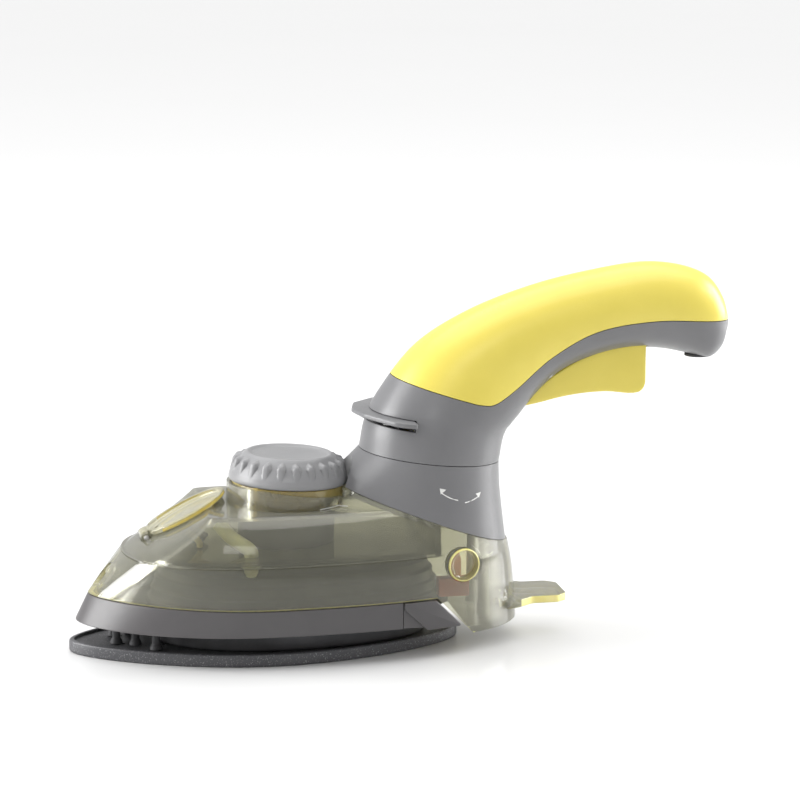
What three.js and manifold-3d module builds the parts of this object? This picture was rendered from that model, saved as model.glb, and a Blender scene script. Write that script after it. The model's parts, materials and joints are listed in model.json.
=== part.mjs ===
// Handheld travel steamer: soleplate, clear water tank, thermostat knob, and a
// grip that swivels from the rear to the front. Millimetres, +Z up, nose at -X.
// The origin is on the sole's underside, below the swivel seam.
import * as THREE from 'three';
import { mergeVertices } from 'three/addons/utils/BufferGeometryUtils.js';
import Module from 'manifold-3d';

const wasm = await Module();
wasm.setup();

// ---- driving dimensions ----
const gap = 0.3; // between neighbouring pieces
const wall = 2; // clear shell and turret
const ringSteps = 6; // straight steps in each quarter of a plan outline
const roundSteps = 24; // straight steps in a full circle

// plan of the clear body at its rim: its two ends and half its width
const body = { nose: -125.5, half: 42.5, rear: 34 };
const widest = body.nose + 59.5;

// plan outlines: nose and rear end, half width at x = wide, and how blunt each end is
const soleEdge = {
  nose: body.nose - 13.5,
  noseBlunt: 12,
  noseReach: 36,
  wide: widest + 2,
  half: body.half - 5.5,
  rearReach: 34,
  rearBlunt: 15,
  rear: 12,
};
const rim = { ...body, nose: body.nose - 6, noseBlunt: 12, noseReach: 36, wide: widest, rearReach: 30, rearBlunt: 38 };
const skirtFoot = {
  ...rim, nose: body.nose - 11, noseBlunt: 16, noseReach: 40, half: body.half - 1, rear: body.rear + 1,
};
const shoulder = {
  ...rim,
  nose: body.nose + 7.1,
  noseBlunt: 28,
  noseReach: 34,
  half: body.half - 1.3,
  rearBlunt: 36,
  rear: body.rear - 2.5,
};

// heights of the base
const soleThickness = 4.8;
const soleRecess = 1.2;
const soleRim = 2;
const skirtBottom = 12.4;
const rimHeight = 23;
const shoulderHeight = 38.7;
const heelBottom = 7.5;
const chamberTop = 20;
const panBottom = 16;
const panThickness = 2;
const shieldTop = 36.4;
const floorThickness = 1.5;

// tank dome above the shoulder: rise, how far the nose is set back, how far each side is drawn in
const domeRings = [
  [0, 0.9, 0.8],
  [2.2, 4.4, 1.7],
  [8.4, 15.6, 4.4],
  [14, 27, 8.7],
  [17.3, 33.6, 12.2],
];

// swivel seam: the axis leans to the rear
const seam = { x: 1, height: 72.6, radius: 27.2, lean: 6 };
const spindleRadius = 9;
const spindleBore = 5;

// turret: its foot, and the sloping line where it meets the clear shell
const turretFoot = { front: -62, rear: seam.radius + 3.8, half: seam.radius + 4.8, height: 36 };
const turretWaist = { front: -42, rear: seam.radius + 1.1, half: seam.radius + 1.6, height: 60 };
const turretLine = { x: -37, height: 63.8, fall: 0.373 };
const turretPlate = 3;

// knob: its axis leans a little less
const dial = { x: body.nose + 71.5, height: 64, radius: 22.9, lean: 2.6 };
const knobHeight = 11;
const knobRibs = 22;
const ribRadius = 1.7;
const collarRadius = dial.radius + 0.7;
const ringRadius = dial.radius - 1.1;
const sleeveRadius = dial.radius - 4.4;
const shaftRadius = 3;

// filler flap: hinge pin, slope, width; it reaches up to the knob's collar
const flap = { x: body.nose + 16.2, height: shoulderHeight + 5.7, slope: 27, half: 13, thickness: 1.8 };
const flapClearance = 0.8;
const flapRun = dial.x - collarRadius - flapClearance - flap.x;
const flapLength = flapRun / Math.cos(THREE.MathUtils.degToRad(flap.slope));
const plugRadius = 7.2;
const plugDepth = 7;
const plugPlace = flapLength - 11.5;

// grip: outer and inner edge of each cross-section, and its half width
const gripSections = [
  [-23.6, 87, 30.6, 80.6, seam.radius - 1.4],
  [-16.8, 99.2, 36.5, 88, 23.2],
  [-4, 114.8, 43.5, 96, 20.6],
  [15.5, 126.8, 53, 103.8, 18.8],
  [40.3, 136.1, 66, 109, 17.6],
  [65, 141.8, 79, 111.4, 17.2],
  [87.6, 144.6, 91.5, 111, 16.8],
  [103, 142.4, 103, 108.6, 16],
  [111.5, 138.3, 110.8, 106.5, 14],
  [116.4, 131.5, 115.6, 109.8, 10.5],
  [118.4, 125.5, 118, 116, 6],
];
const gripWall = 2.2;
const splitGap = 0.15;

// trigger: hinge pin, how far it swings up when squeezed, thickness and slot
const triggerPin = { x: 46, height: 103.5, radius: 1.5 };
const triggerSwing = 5;
const triggerHalf = 7.5;
const slotHalf = triggerHalf + 0.6;
const slotClearance = 0.7;

// swivel release lever, measured up the swivel axis from the seam
const lever = {
  bottom: 13.5, thickness: 1.8, radius: seam.radius + 5.3, half: seam.radius + 1.4, back: -11, travel: 2,
};
const gland = { x: 108, radius: 4.6, bore: 3.1, flange: 5.4, edge: 107.2, length: 8 };

// rear heel tongue
const tongue = { bottom: 13.5, thickness: 3, end: 54, half: 12, endHalf: 8.5, root: 17 };
const lens = { x: 8.6, height: 34.5, radius: 6.4, yaw: 14 };

// ---- materials ----
const material = (color, roughness, metalness = 0, opacity = 1) => new THREE.MeshStandardMaterial({
  color, roughness, metalness, opacity, transparent: opacity < 1,
});
const greyPlastic = material(0x8b8b90, 0.45);
const darkPlastic = material(0x55554f, 0.6);
const clearPlastic = material(0xe9e3b0, 0.1, 0, 0.4);
const yellowPlastic = material(0xe9dc5c, 0.4);
const amberPlastic = material(0xf0c84a, 0.2, 0, 0.7);
const creamRubber = material(0xe6e0c0, 0.6);
const blackRubber = material(0x2c2c2e, 0.8);
const soleCoating = material(0x5a5a5e, 0.5, 0.4);
const castMetal = material(0x4a4a4c, 0.6, 0.6);
const steel = material(0xb8b8bc, 0.35, 0.9);
const redPlastic = material(0xd85a3c, 0.4);
const whitePlastic = material(0xe8e6dc, 0.5);

// ---- geometry helpers ----
// the same skin with shared corners, no collapsed triangles, and its faces pointing out
function closed(geometry) {
  const bare = new THREE.BufferGeometry();
  bare.setAttribute('position', geometry.getAttribute('position').clone());
  if (geometry.index) bare.setIndex(geometry.index.clone());
  const merged = mergeVertices(bare, 1e-4);
  const place = merged.getAttribute('position');
  const corner = (i) => new THREE.Vector3().fromBufferAttribute(place, i);
  const index = [];
  let volume = 0;
  for (let i = 0; i < merged.index.count; i += 3) {
    const [a, b, c] = [0, 1, 2].map((k) => merged.index.getX(i + k));
    if (a === b || b === c || c === a) continue;
    index.push(a, b, c);
    volume += corner(a).dot(corner(b).cross(corner(c)));
  }
  merged.setIndex(volume > 0 ? index : index.reverse());
  merged.computeVertexNormals();
  return merged;
}

function solidOf(geometry) {
  const skin = closed(geometry);
  const positions = new Float32Array(skin.getAttribute('position').array);
  const triangles = new Uint32Array(skin.index.array);
  return new wasm.Manifold(new wasm.Mesh({ numProp: 3, vertProperties: positions, triVerts: triangles }));
}

function geometryOf(solid) {
  const mesh = solid.getMesh();
  const geometry = new THREE.BufferGeometry();
  geometry.setAttribute('position', new THREE.Float32BufferAttribute(mesh.vertProperties, 3));
  geometry.setIndex(Array.from(mesh.triVerts));
  geometry.computeVertexNormals();
  return geometry;
}

const combine = (base, tools, action) => geometryOf(
  tools.reduce((solid, tool) => solid[action](solidOf(tool)), solidOf(base)),
);
const cut = (base, ...tools) => combine(base, tools, 'subtract');
const join = (base, ...tools) => combine(base, tools, 'add');
const common = (base, ...tools) => combine(base, tools, 'intersect');

// closed skin over rings of equal point counts, each anticlockwise seen from the next ring
function loft(rings) {
  const count = rings[0].length;
  const positions = rings.flat().flatMap((p) => [p.x, p.y, p.z]);
  const index = [];
  for (let i = 0; i < rings.length - 1; i += 1) {
    for (let j = 0; j < count; j += 1) {
      const a = i * count + j;
      const b = i * count + ((j + 1) % count);
      index.push(a, b, b + count, a, b + count, a + count);
    }
  }
  const last = (rings.length - 1) * count;
  for (const ring of [rings[0], rings.at(-1)]) {
    const middle = ring.reduce((sum, p) => sum.add(p), new THREE.Vector3()).divideScalar(count);
    positions.push(middle.x, middle.y, middle.z);
  }
  const bottom = rings.length * count;
  for (let j = 0; j < count; j += 1) {
    const next = (j + 1) % count;
    index.push(bottom, next, j);
    index.push(bottom + 1, last + j, last + next);
  }
  const geometry = new THREE.BufferGeometry();
  geometry.setAttribute('position', new THREE.Float32BufferAttribute(positions, 3));
  geometry.setIndex(index);
  geometry.computeVertexNormals();
  return geometry;
}

// boat-shaped plan outline at one height
function hullRing(o, height) {
  const nose = new THREE.CubicBezierCurve(
    new THREE.Vector2(o.nose, 0),
    new THREE.Vector2(o.nose, -o.noseBlunt),
    new THREE.Vector2(o.wide - o.noseReach, -o.half),
    new THREE.Vector2(o.wide, -o.half),
  );
  const rear = new THREE.CubicBezierCurve(
    new THREE.Vector2(o.wide, -o.half),
    new THREE.Vector2(o.wide + o.rearReach, -o.half),
    new THREE.Vector2(o.rear, -o.rearBlunt),
    new THREE.Vector2(o.rear, 0),
  );
  const near = [...nose.getPoints(ringSteps), ...rear.getPoints(ringSteps).slice(1)];
  const far = near.slice(1, -1).reverse().map((p) => new THREE.Vector2(p.x, -p.y));
  return [...near, ...far].map((p) => new THREE.Vector3(p.x, p.y, height));
}

// the same outline drawn in by a distance
const inset = (o, by) => ({
  ...o,
  nose: o.nose + by,
  rear: o.rear - by,
  half: o.half - by,
  noseBlunt: Math.max(o.noseBlunt - by * 0.6, 3),
  rearBlunt: Math.max(o.rearBlunt - by * 0.6, 3),
});

const hullBlock = (o, bottom, top) => loft([hullRing(o, bottom), hullRing(o, top)]);

// outline with elliptical front and rear halves that meet at x = seam.x
function eggRing(o, by = 0) {
  const points = [];
  for (let i = 0; i < roundSteps; i += 1) {
    const angle = (i / roundSteps) * 2 * Math.PI;
    const reach = Math.cos(angle) < 0 ? seam.x - o.front : o.rear - seam.x;
    const x = seam.x + (reach - by) * Math.cos(angle);
    points.push(new THREE.Vector3(x, (o.half - by) * Math.sin(angle), o.height));
  }
  return points;
}

const box = (x0, x1, y0, y1, z0, z1) => new THREE.BoxGeometry(x1 - x0, y1 - y0, z1 - z0)
  .translate((x0 + x1) / 2, (y0 + y1) / 2, (z0 + z1) / 2);

// round bar along Z
const rod = (radius, z0, z1, steps = roundSteps) => (
  new THREE.CylinderGeometry(radius, radius, z1 - z0, steps)
    .rotateX(Math.PI / 2).translate(0, 0, (z0 + z1) / 2)
);

// turned piece about Z from [radius, height] pairs
const turned = (profile, steps = roundSteps) => new THREE.LatheGeometry(
  profile.map(([r, h]) => new THREE.Vector2(r, h)),
  steps,
).rotateX(Math.PI / 2);

// a side-view outline (x, z) carried across Y
function slab(points, halfWidth) {
  const outline = new THREE.Shape(points.map(([x, z]) => new THREE.Vector2(x, z)));
  return new THREE.ExtrudeGeometry(outline, { depth: 2 * halfWidth, bevelEnabled: false })
    .rotateX(Math.PI / 2).translate(0, halfWidth, 0);
}

// a plan outline (x, y) carried up
function plate(points, bottom, thickness) {
  const outline = new THREE.Shape(points.map(([x, y]) => new THREE.Vector2(x, y)));
  return new THREE.ExtrudeGeometry(outline, { depth: thickness, bevelEnabled: false })
    .translate(0, 0, bottom);
}

function tube(points, radius, steps, sides = 10) {
  const path = new THREE.CatmullRomCurve3(points.map(([x, y, z]) => new THREE.Vector3(x, y, z)));
  const section = new THREE.Shape();
  section.absarc(0, 0, radius, 0, 2 * Math.PI);
  return new THREE.ExtrudeGeometry(section, { extrudePath: path, steps, curveSegments: sides });
}

class Helix extends THREE.Curve {
  constructor(radius, height, turns) {
    super();
    this.radius = radius;
    this.height = height;
    this.turns = turns;
  }

  getPoint(t, target = new THREE.Vector3()) {
    const angle = t * this.turns * 2 * Math.PI;
    return target.set(this.radius * Math.cos(angle), this.radius * Math.sin(angle), t * this.height);
  }
}

// coil spring standing on z = 0
function coil(radius, wire, height, turns) {
  const section = new THREE.Shape();
  section.absarc(0, 0, wire, 0, 2 * Math.PI);
  return new THREE.ExtrudeGeometry(section, {
    extrudePath: new Helix(radius, height - 2 * wire, turns), steps: turns * 9, curveSegments: 3,
  }).translate(0, 0, wire);
}

const leaning = (place) => new THREE.Matrix4().makeRotationY(THREE.MathUtils.degToRad(place.lean))
  .setPosition(place.x, 0, place.height);
const onSwivel = (geometry) => geometry.applyMatrix4(leaning(seam));
const onDial = (geometry) => geometry.applyMatrix4(leaning(dial));

const group = new THREE.Group();
function add(name, geometry, skin) {
  const mesh = new THREE.Mesh(closed(geometry), skin);
  mesh.name = name;
  group.add(mesh);
}

// ---- sole and heater ----
const chamberEdge = {
  nose: body.nose + 19.5,
  noseBlunt: 14,
  noseReach: 26,
  wide: widest + 4,
  half: body.half - 13,
  rearReach: 30,
  rearBlunt: 20,
  rear: -1,
};
const chamberBottom = soleThickness - soleRecess + gap;
const studPlaces = [[17.5, 6], [24.5, 9.5], [31.5, 18]]; // from the sole's nose, and out from the middle
const steamHoles = 5;

function makeSole() {
  const recess = hullBlock(inset(soleEdge, soleRim), soleThickness - soleRecess, soleThickness + 1);
  const holes = [];
  for (let i = 0; i < steamHoles; i += 1) {
    const x = soleEdge.nose + 20 + i * 15;
    const y = 6 + i * 4;
    for (const side of [-1, 1]) holes.push(rod(1.3, -1, soleThickness, 8).translate(x, side * y, 0));
  }
  add('soleplate', cut(hullBlock(soleEdge, 0, soleThickness), recess, ...holes), soleCoating);
}

function heaterPath() {
  const rear = chamberEdge.rear + 5;
  const side = 13;
  const z = 12.8;
  return [[rear, -side, z], [-20, -side, z], [-62, -side, z], [-82, 0, z], [-62, side, z],
    [-20, side, z], [rear, side, z]];
}

function makeHeater() {
  const block = hullBlock(chamberEdge, chamberBottom, chamberTop);
  const well = hullBlock(inset(chamberEdge, 4), 10.5, chamberTop + 1);
  const bed = tube(heaterPath(), 3.2, 22, 4);
  add('steam_chamber', cut(block, well, bed), castMetal);
  add('heating_element', tube(heaterPath(), 2.8, 22, 4), steel);
  const lid = hullBlock(inset(chamberEdge, 0.4), chamberTop + gap, chamberTop + 2);
  add('chamber_lid', lid, steel);
  const names = ['front', 'middle', 'back'];
  studPlaces.forEach(([back, y], i) => {
    const x = soleEdge.nose + back;
    const stud = rod(1.9, chamberBottom, panBottom - gap, 10);
    add(`stud_${names[i]}_left`, stud.clone().translate(x, -y, 0), castMetal);
    add(`stud_${names[i]}_right`, stud.clone().translate(x, y, 0), castMetal);
  });
}

// ---- grey skirt under the clear shell ----
const cornerBottom = 11.3;
const cornerLine = [
  [-15.5, 22.4], [-2.8, 22.4], [7.6, 12], [7, cornerBottom], [-6.3, cornerBottom], [-15.5, 20],
];
const bandEnd = -16;

function makeSkirt() {
  const foot = hullRing(skirtFoot, skirtBottom);
  const top = hullRing(rim, rimHeight - gap);
  const innerFoot = hullRing(inset(skirtFoot, wall), skirtBottom - 0.01);
  const innerTop = hullRing(inset(rim, wall), rimHeight);
  const beyond = box(bandEnd, 60, -60, 60, 0, 60);
  add('skirt', cut(loft([foot, top]), loft([innerFoot, innerTop]), beyond), greyPlastic);
  const proud = 0.8;
  const thick = 3;
  const outer = hullBlock(inset(rim, -proud), 5, 30);
  const inner = hullBlock(inset(rim, thick - proud), 4, 31);
  const corners = common(cut(outer, inner), slab(cornerLine, 60));
  const behindBand = box(bandEnd - 20, bandEnd + gap, -60, 60, 0, 60);
  const trimmed = cut(corners, behindBand);
  add('skirt_corner_left', common(trimmed, box(-60, 60, -60, 0, 0, 60)), greyPlastic);
  add('skirt_corner_right', common(trimmed, box(-60, 60, 0, 60, 0, 60)), greyPlastic);
}

function makePan() {
  const edge = { ...inset(rim, 3.8), rear: 9, rearReach: 40, rearBlunt: 26 };
  const hole = hullBlock(inset(chamberEdge, -1), panBottom - 1, panBottom + panThickness + 1);
  add('base_pan', cut(hullBlock(edge, panBottom, panBottom + panThickness), hole), darkPlastic);
}

// ---- clear shell: outside and inside skins ----
const lineAt = (x, drop = 0) => turretLine.height - drop - turretLine.fall * (x - turretLine.x);
const aboveLine = (drop) => slab(
  [[-220, lineAt(-220, drop)], [120, lineAt(120, drop)], [120, 260], [-220, 260]],
  90,
);

function turretSkin(by) {
  const seamRing = [];
  for (let i = 0; i < roundSteps; i += 1) {
    const angle = (i / roundSteps) * 2 * Math.PI;
    const reach = seam.radius - by;
    const point = new THREE.Vector3(reach * Math.cos(angle), reach * Math.sin(angle), -gap / 2);
    seamRing.push(point.applyMatrix4(leaning(seam)));
  }
  return loft([eggRing(turretFoot, by), eggRing(turretWaist, by), seamRing]);
}

// plan of the dome where its nose is set back and its sides are drawn in
const domePlan = (back, narrow) => ({
  ...shoulder,
  nose: shoulder.nose + back,
  half: shoulder.half - narrow,
  rearBlunt: shoulder.rearBlunt * (1 - narrow / shoulder.half),
});

function domeSkin(by) {
  const top = domeRings.at(-1)[0];
  const rings = domeRings.map(([rise, back, narrow]) => hullRing(
    inset(domePlan(back, narrow), by),
    shoulderHeight + rise - (rise === top ? by : 0),
  ));
  return loft(rings);
}

function lowerSkin(by) {
  return loft([
    hullRing(inset({ ...rim, rear: rim.rear + 1 }, by), heelBottom + by),
    hullRing(inset(rim, by), rimHeight),
    hullRing(inset(shoulder, by), shoulderHeight + 0.4),
  ]);
}

function dialBar(radius, w0, w1) {
  return onDial(rod(radius, w0, w1));
}

const flapFrame = new THREE.Matrix4()
  .makeRotationY(-THREE.MathUtils.degToRad(flap.slope))
  .setPosition(flap.x, 0, flap.height);
const onFlap = (geometry) => geometry.applyMatrix4(flapFrame);
const plugHole = plugRadius + 1;

function shellOutside() {
  const collar = dialBar(collarRadius, -26, -1);
  const filler = onFlap(rod(plugHole + 1.4, -9, -gap).translate(plugPlace, 0, 0));
  const whole = join(lowerSkin(0), domeSkin(0), turretSkin(0), collar, filler);
  // the collar's top slopes down to the rear, so the amber ring shows more there
  const collarSlope = slab([[-90, 66.9], [-20, 57.5], [-20, 90], [-90, 90]], 30);
  const slopeCut = common(dialBar(collarRadius + 2, -20, 60), collarSlope);
  return cut(whole, aboveLine(0), dialBar(collarRadius, -1, 60), slopeCut);
}

function shellInside() {
  return join(lowerSkin(wall), domeSkin(wall), turretSkin(wall));
}

const tankEnd = -gap;
const tankBottom = shoulderHeight + 0.2;

function makeTank(outside, inside) {
  const room = common(
    cut(inside, aboveLine(wall + 0.2)),
    box(-200, tankEnd - wall, -80, 80, tankBottom - 1, 100),
  );
  const upper = common(outside, box(-200, tankEnd, -80, 80, tankBottom, 100));
  const bore = dialBar(ringRadius + gap, -20, 20);
  const filler = onFlap(rod(plugHole, -12, 5).translate(plugPlace, 0, 0));
  const ears = [-1, 1].map((side) => onFlap(box(-1.6, 1.6, side * 5 - 1, side * 5 + 1, -3, 1.6)));
  const pinHole = onFlap(rod(1.3, -9, 9, 12).rotateX(Math.PI / 2));
  const knuckleWay = onFlap(rod(2.6, -4, 4, 14).rotateX(Math.PI / 2));
  const shell = cut(join(cut(upper, room), ...ears), bore, filler, pinHole, knuckleWay);
  add('tank_shell', shell, clearPlastic);

  // the floor lies below the dome's second ring, so that ring's outline clears the wall
  const [, back, narrow] = domeRings[1];
  const floorEdge = inset(domePlan(back, narrow), wall + 1.2);
  const floor = common(
    hullBlock(floorEdge, tankBottom, tankBottom + floorThickness),
    box(-200, tankEnd - wall - gap, -80, 80, 0, 100),
  );
  add('tank_floor', cut(floor, dialBar(shaftRadius + 1, -60, 0), hoseBore()), clearPlastic);
}

const lensFrame = new THREE.Matrix4().makeRotationZ(THREE.MathUtils.degToRad(lens.yaw))
  .multiply(new THREE.Matrix4().makeRotationX(Math.PI / 2));
const onLens = (geometry) => geometry.applyMatrix4(lensFrame)
  .translate(lens.x, -halfAt(lens.x), lens.height);

// half width of the clear shell at a place along it, at lens height
function halfAt(x) {
  const ring = hullRing(shoulder, 0).slice(0, 2 * ringSteps + 1);
  const i = ring.findIndex((p) => p.x >= x);
  const [a, b] = [ring[i - 1], ring[i]];
  return -THREE.MathUtils.lerp(a.y, b.y, (x - a.x) / (b.x - a.x));
}

function tonguePlan() {
  const side = [[28, -tongue.root - 3], [34, -tongue.root], [40, -tongue.half],
    [tongue.end - 4, -tongue.half], [tongue.end, -tongue.endHalf]];
  return [...side, ...side.map(([x, y]) => [x, -y]).reverse()];
}

const nozzle = { x: body.nose + 4.7, height: 29.8, radius: 4 };

function makeLowerShell(outside, inside) {
  const behind = box(0, 100, -80, 80, 0, 100);
  const below = box(-200, 0.01, -80, 80, 0, shoulderHeight - 0.1);
  const kept = common(outside, join(behind, below));
  const seat = onLens(rod(lens.radius + 1.6, -2.2, 1));
  const hole = onLens(rod(lens.radius + gap, -9, 9));
  const mouth = slab([[-200, 0], [15, 0], [13, heelBottom], [-2, rimHeight], [-200, rimHeight]], 80);
  const jet = rod(nozzle.radius + gap, -12, 5).rotateY(Math.PI / 2).translate(nozzle.x, 0, nozzle.height);
  const tail = plate(tonguePlan(), tongue.bottom, tongue.thickness);
  const skin = join(kept, seat, tail);
  add('lower_shell', cut(skin, inside, mouth, hole, jet), clearPlastic);
}

function makeShield() {
  const low = {
    ...inset(rim, 7),
    nose: body.nose + 16.5,
    noseBlunt: 6,
    noseReach: 32,
    rear: 5,
    rearReach: 34,
    rearBlunt: 26,
  };
  const skin = (by, bottom) => loft([
    hullRing(inset(low, by), bottom),
    hullRing(inset(low, by + 0.5), 28),
    hullRing(inset(low, by + 4), 29.5),
    hullRing(inset(low, by + 5), shieldTop - by),
  ]);
  const outside = skin(0, panBottom + panThickness + gap);
  const inside = skin(1.8, panBottom);
  add('heat_shield', cut(outside, inside, dialBar(shaftRadius + 1, -60, 0), fittingBore()), darkPlastic);
}

// ---- water feed ----
const feed = { x: dial.x - 18, y: 17 - body.half };
const hoseRadius = 2.7;
const fittingRadius = 4;
const fittingBottom = 31;
const inletRadius = 1.7;
// the inlet tube's route, along from the flap's pin, across, and up from the tank floor
const inletPath = [[19.8, -9.6, 0.5], [19.8, -9.6, 2.2], [17.4, -9.6, 4.8], [14.8, -9.6, 6.9]];
const hoseBore = () => rod(hoseRadius + 2 * gap, 30, 45, 12).translate(feed.x, feed.y, 0);
const fittingBore = () => rod(fittingRadius + 0.4, 20, 40, 16).translate(feed.x, feed.y, 0);

function makeWaterFeed() {
  const top = tankBottom + floorThickness;
  const path = [[feed.x, feed.y, tankBottom + 0.1], [feed.x, feed.y, top + 1.5],
    [feed.x - 7, feed.y + 5, top + 6.5], [feed.x - 11, feed.y + 8.5, top + 11]];
  add('feed_hose', tube(path, hoseRadius, 12, 5), creamRubber);
  const fitting = rod(fittingRadius, fittingBottom, tankBottom - gap, 16);
  add('hose_fitting', fitting.translate(feed.x, feed.y, 0), creamRubber);
  // the pad fills the room between the floor and the front of the filler plug
  const slope = THREE.MathUtils.degToRad(flap.slope);
  const plugFront = (plugPlace - plugRadius) * Math.sin(slope);
  const plugFoot = flap.height + plugFront - plugDepth * Math.cos(slope);
  const padHalf = (plugFoot - top) / 2 - gap;
  const pad = new THREE.SphereGeometry(1, 12, 8).scale(10, 9, padHalf);
  add('filter_pad', pad.translate(flap.x + 14.3, 2, top + gap + padHalf), darkPlastic);
  const inlet = inletPath.map(([x, y, z]) => [flap.x + x, y, top + z]);
  add('inlet_tube', tube(inlet, inletRadius, 8, 4), amberPlastic);
}

function makeNozzle() {
  const ball = new THREE.SphereGeometry(nozzle.radius, 14, 10).translate(nozzle.x, 0, nozzle.height);
  const stem = rod(2, 0, 8.5, 12).rotateY(Math.PI / 2).translate(nozzle.x, 0, nozzle.height);
  const jet = rod(0.8, -10, 0, 8).rotateY(Math.PI / 2).translate(nozzle.x, 0, nozzle.height);
  add('spray_nozzle', cut(join(ball, stem), jet), whitePlastic);
}

// ---- filler flap ----
function makeFlap() {
  const middle = flapLength / 2;
  const oval = new THREE.CylinderGeometry(1, 1, flap.thickness, 32).rotateX(Math.PI / 2)
    .scale(middle, flap.half, 1).translate(middle, 0, flap.thickness / 2);
  const knuckle = rod(2.1, -3.7, 3.7, 14).rotateX(Math.PI / 2);
  const arm = box(0, 6, -3.7, 3.7, 0.2, flap.thickness);
  const pinHole = rod(1.3, -9, 9, 12).rotateX(Math.PI / 2);
  const clearEars = [-1, 1].map((side) => box(-4, 3, side * 5.3 - 1.6, side * 5.3 + 1.6, -3, 4));
  add('filler_flap', onFlap(cut(join(oval, arm, knuckle), pinHole, ...clearEars)), clearPlastic);
  add('flap_pin', onFlap(rod(1, -6.2, 6.2, 12).rotateX(Math.PI / 2)), steel);
  const plug = turned([[0, -gap], [plugRadius, -gap], [plugRadius - 0.8, -plugDepth], [0, -plugDepth]], 20);
  add('filler_plug', onFlap(plug.translate(plugPlace, 0, 0)), amberPlastic);
}

// ---- thermostat and knob ----
function makeThermostat() {
  const top = -5;
  const foot = tankBottom + floorThickness + gap;
  const sleeve = onDial(turned([[shaftRadius + 0.6, top], [sleeveRadius, top], [sleeveRadius, -30],
    [sleeveRadius - wall, -30], [sleeveRadius - wall, top - wall], [shaftRadius + 0.6, top - wall],
    [shaftRadius + 0.6, top]]));
  add('thermostat_sleeve', cut(sleeve, box(-120, 0, -60, 60, 0, foot)), darkPlastic);
  const low = new THREE.Vector3(0, 0, -34).applyMatrix4(leaning(dial));
  add('thermostat', rod(12, chamberTop + 2 + gap, 30).translate(low.x, 0, 0), steel);
  add('thermostat_shaft', onDial(rod(shaftRadius, -33, 4.6, 16)), whitePlastic);
  const ring = turned([[sleeveRadius + gap, -9], [ringRadius, -9], [ringRadius, -gap - 0.1],
    [sleeveRadius + gap, -gap - 0.1], [sleeveRadius + gap, -9]]);
  add('amber_ring', onDial(ring), amberPlastic);
}

function makeKnob() {
  const r = dial.radius;
  const top = knobHeight;
  const cap = turned([[0, 5.4], [shaftRadius + gap, 5.4], [shaftRadius + gap, 0.2], [6, 0.2], [6, 6.6],
    [r - 8, 6.6], [r - 3.4, 5], [r - 2.6, 0], [r - 0.5, 0], [r, 1.2], [r - 0.6, top - 7.4],
    [r - 2.4, top - 4], [r - 4.7, top - 1.2], [r - 6.2, top], [r - 8, top - 0.6], [r - 14, top - 1.4],
    [0, top - 1.8]], 33);
  const ribs = [];
  for (let i = 0; i < knobRibs; i += 1) {
    const rib = rod(ribRadius, 2.4, top - 2.2, 6).translate(r - 1.2 - ribRadius, 0, 0);
    ribs.push(rib.rotateZ((i / knobRibs) * 2 * Math.PI));
  }
  add('knob', onDial(join(cap, ...ribs)), greyPlastic);
}

// ---- turret and swivel ----
function makeTurret() {
  const reach = collarRadius + 0.6;
  const outside = cut(turretSkin(0), dialBar(reach, -40, 40));
  const plateRoom = onSwivel(box(-60, 60, -60, 60, -gap / 2 - turretPlate, 20));
  const inside = cut(turretSkin(wall), dialBar(reach + wall, -40, 40), plateRoom);
  const hole = onSwivel(rod(spindleRadius + gap, -20, 20));
  const kept = common(cut(outside, inside, hole), aboveLine(-gap));
  add('turret', kept, greyPlastic);
}

const neckFloor = 3.2;
function makeSwivel() {
  const flange = spindleRadius + 5;
  const top = -turretPlate - 2 * gap;
  const foot = top - 2;
  const spindle = turned([[spindleBore, foot], [flange, foot], [flange, top], [spindleRadius, top],
    [spindleRadius, 9], [spindleBore, 9], [spindleBore, foot]]);
  add('swivel_spindle', onSwivel(spindle), whitePlastic);
  const ringOf = (inner, outer, w0, w1) => turned(
    [[inner, w0], [outer, w0], [outer, w1], [inner, w1], [inner, w0]],
  );
  const fit = spindleRadius + gap;
  add('swivel_washer', onSwivel(ringOf(fit, fit + 3, neckFloor + gap, neckFloor + 1.3)), steel);
  add('swivel_nut', onSwivel(ringOf(fit, fit + 2.6, neckFloor + 1.6, neckFloor + 5)), whitePlastic);
}

function makePump() {
  const half = seam.radius - 10.2;
  add('pump', rod(7, -half, half, 20).rotateX(Math.PI / 2).translate(8, 0, 57), whitePlastic);
}

// ---- rear compartment ----
function makeRear() {
  const glass = turned([[0, 0.9], [4.6, 1.2], [5.4, 2], [lens.radius, 1.6], [lens.radius, -2.4],
    [lens.radius - 1, -2.4], [lens.radius - 1, -0.4], [0, -0.4]], 24);
  add('lamp_lens', onLens(glass), amberPlastic);
  const y = -halfAt(lens.x) + 8.5;
  add('lamp_holder', box(lens.x - 8, lens.x + 4, y - 3, y + 3, 20.5, 27.5), redPlastic);
  add('pilot_lamp', rod(2.3, 27.8, 38, 14).translate(lens.x - 1, y, 0), redPlastic);
  const floor = heelBottom + wall + gap;
  for (const [name, side] of [['left', -1], ['right', 1]]) {
    add(`rear_post_${name}`, rod(2.4, floor, 38.5, 14).translate(20.5, side * 11, 0), whitePlastic);
  }
}

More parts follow.
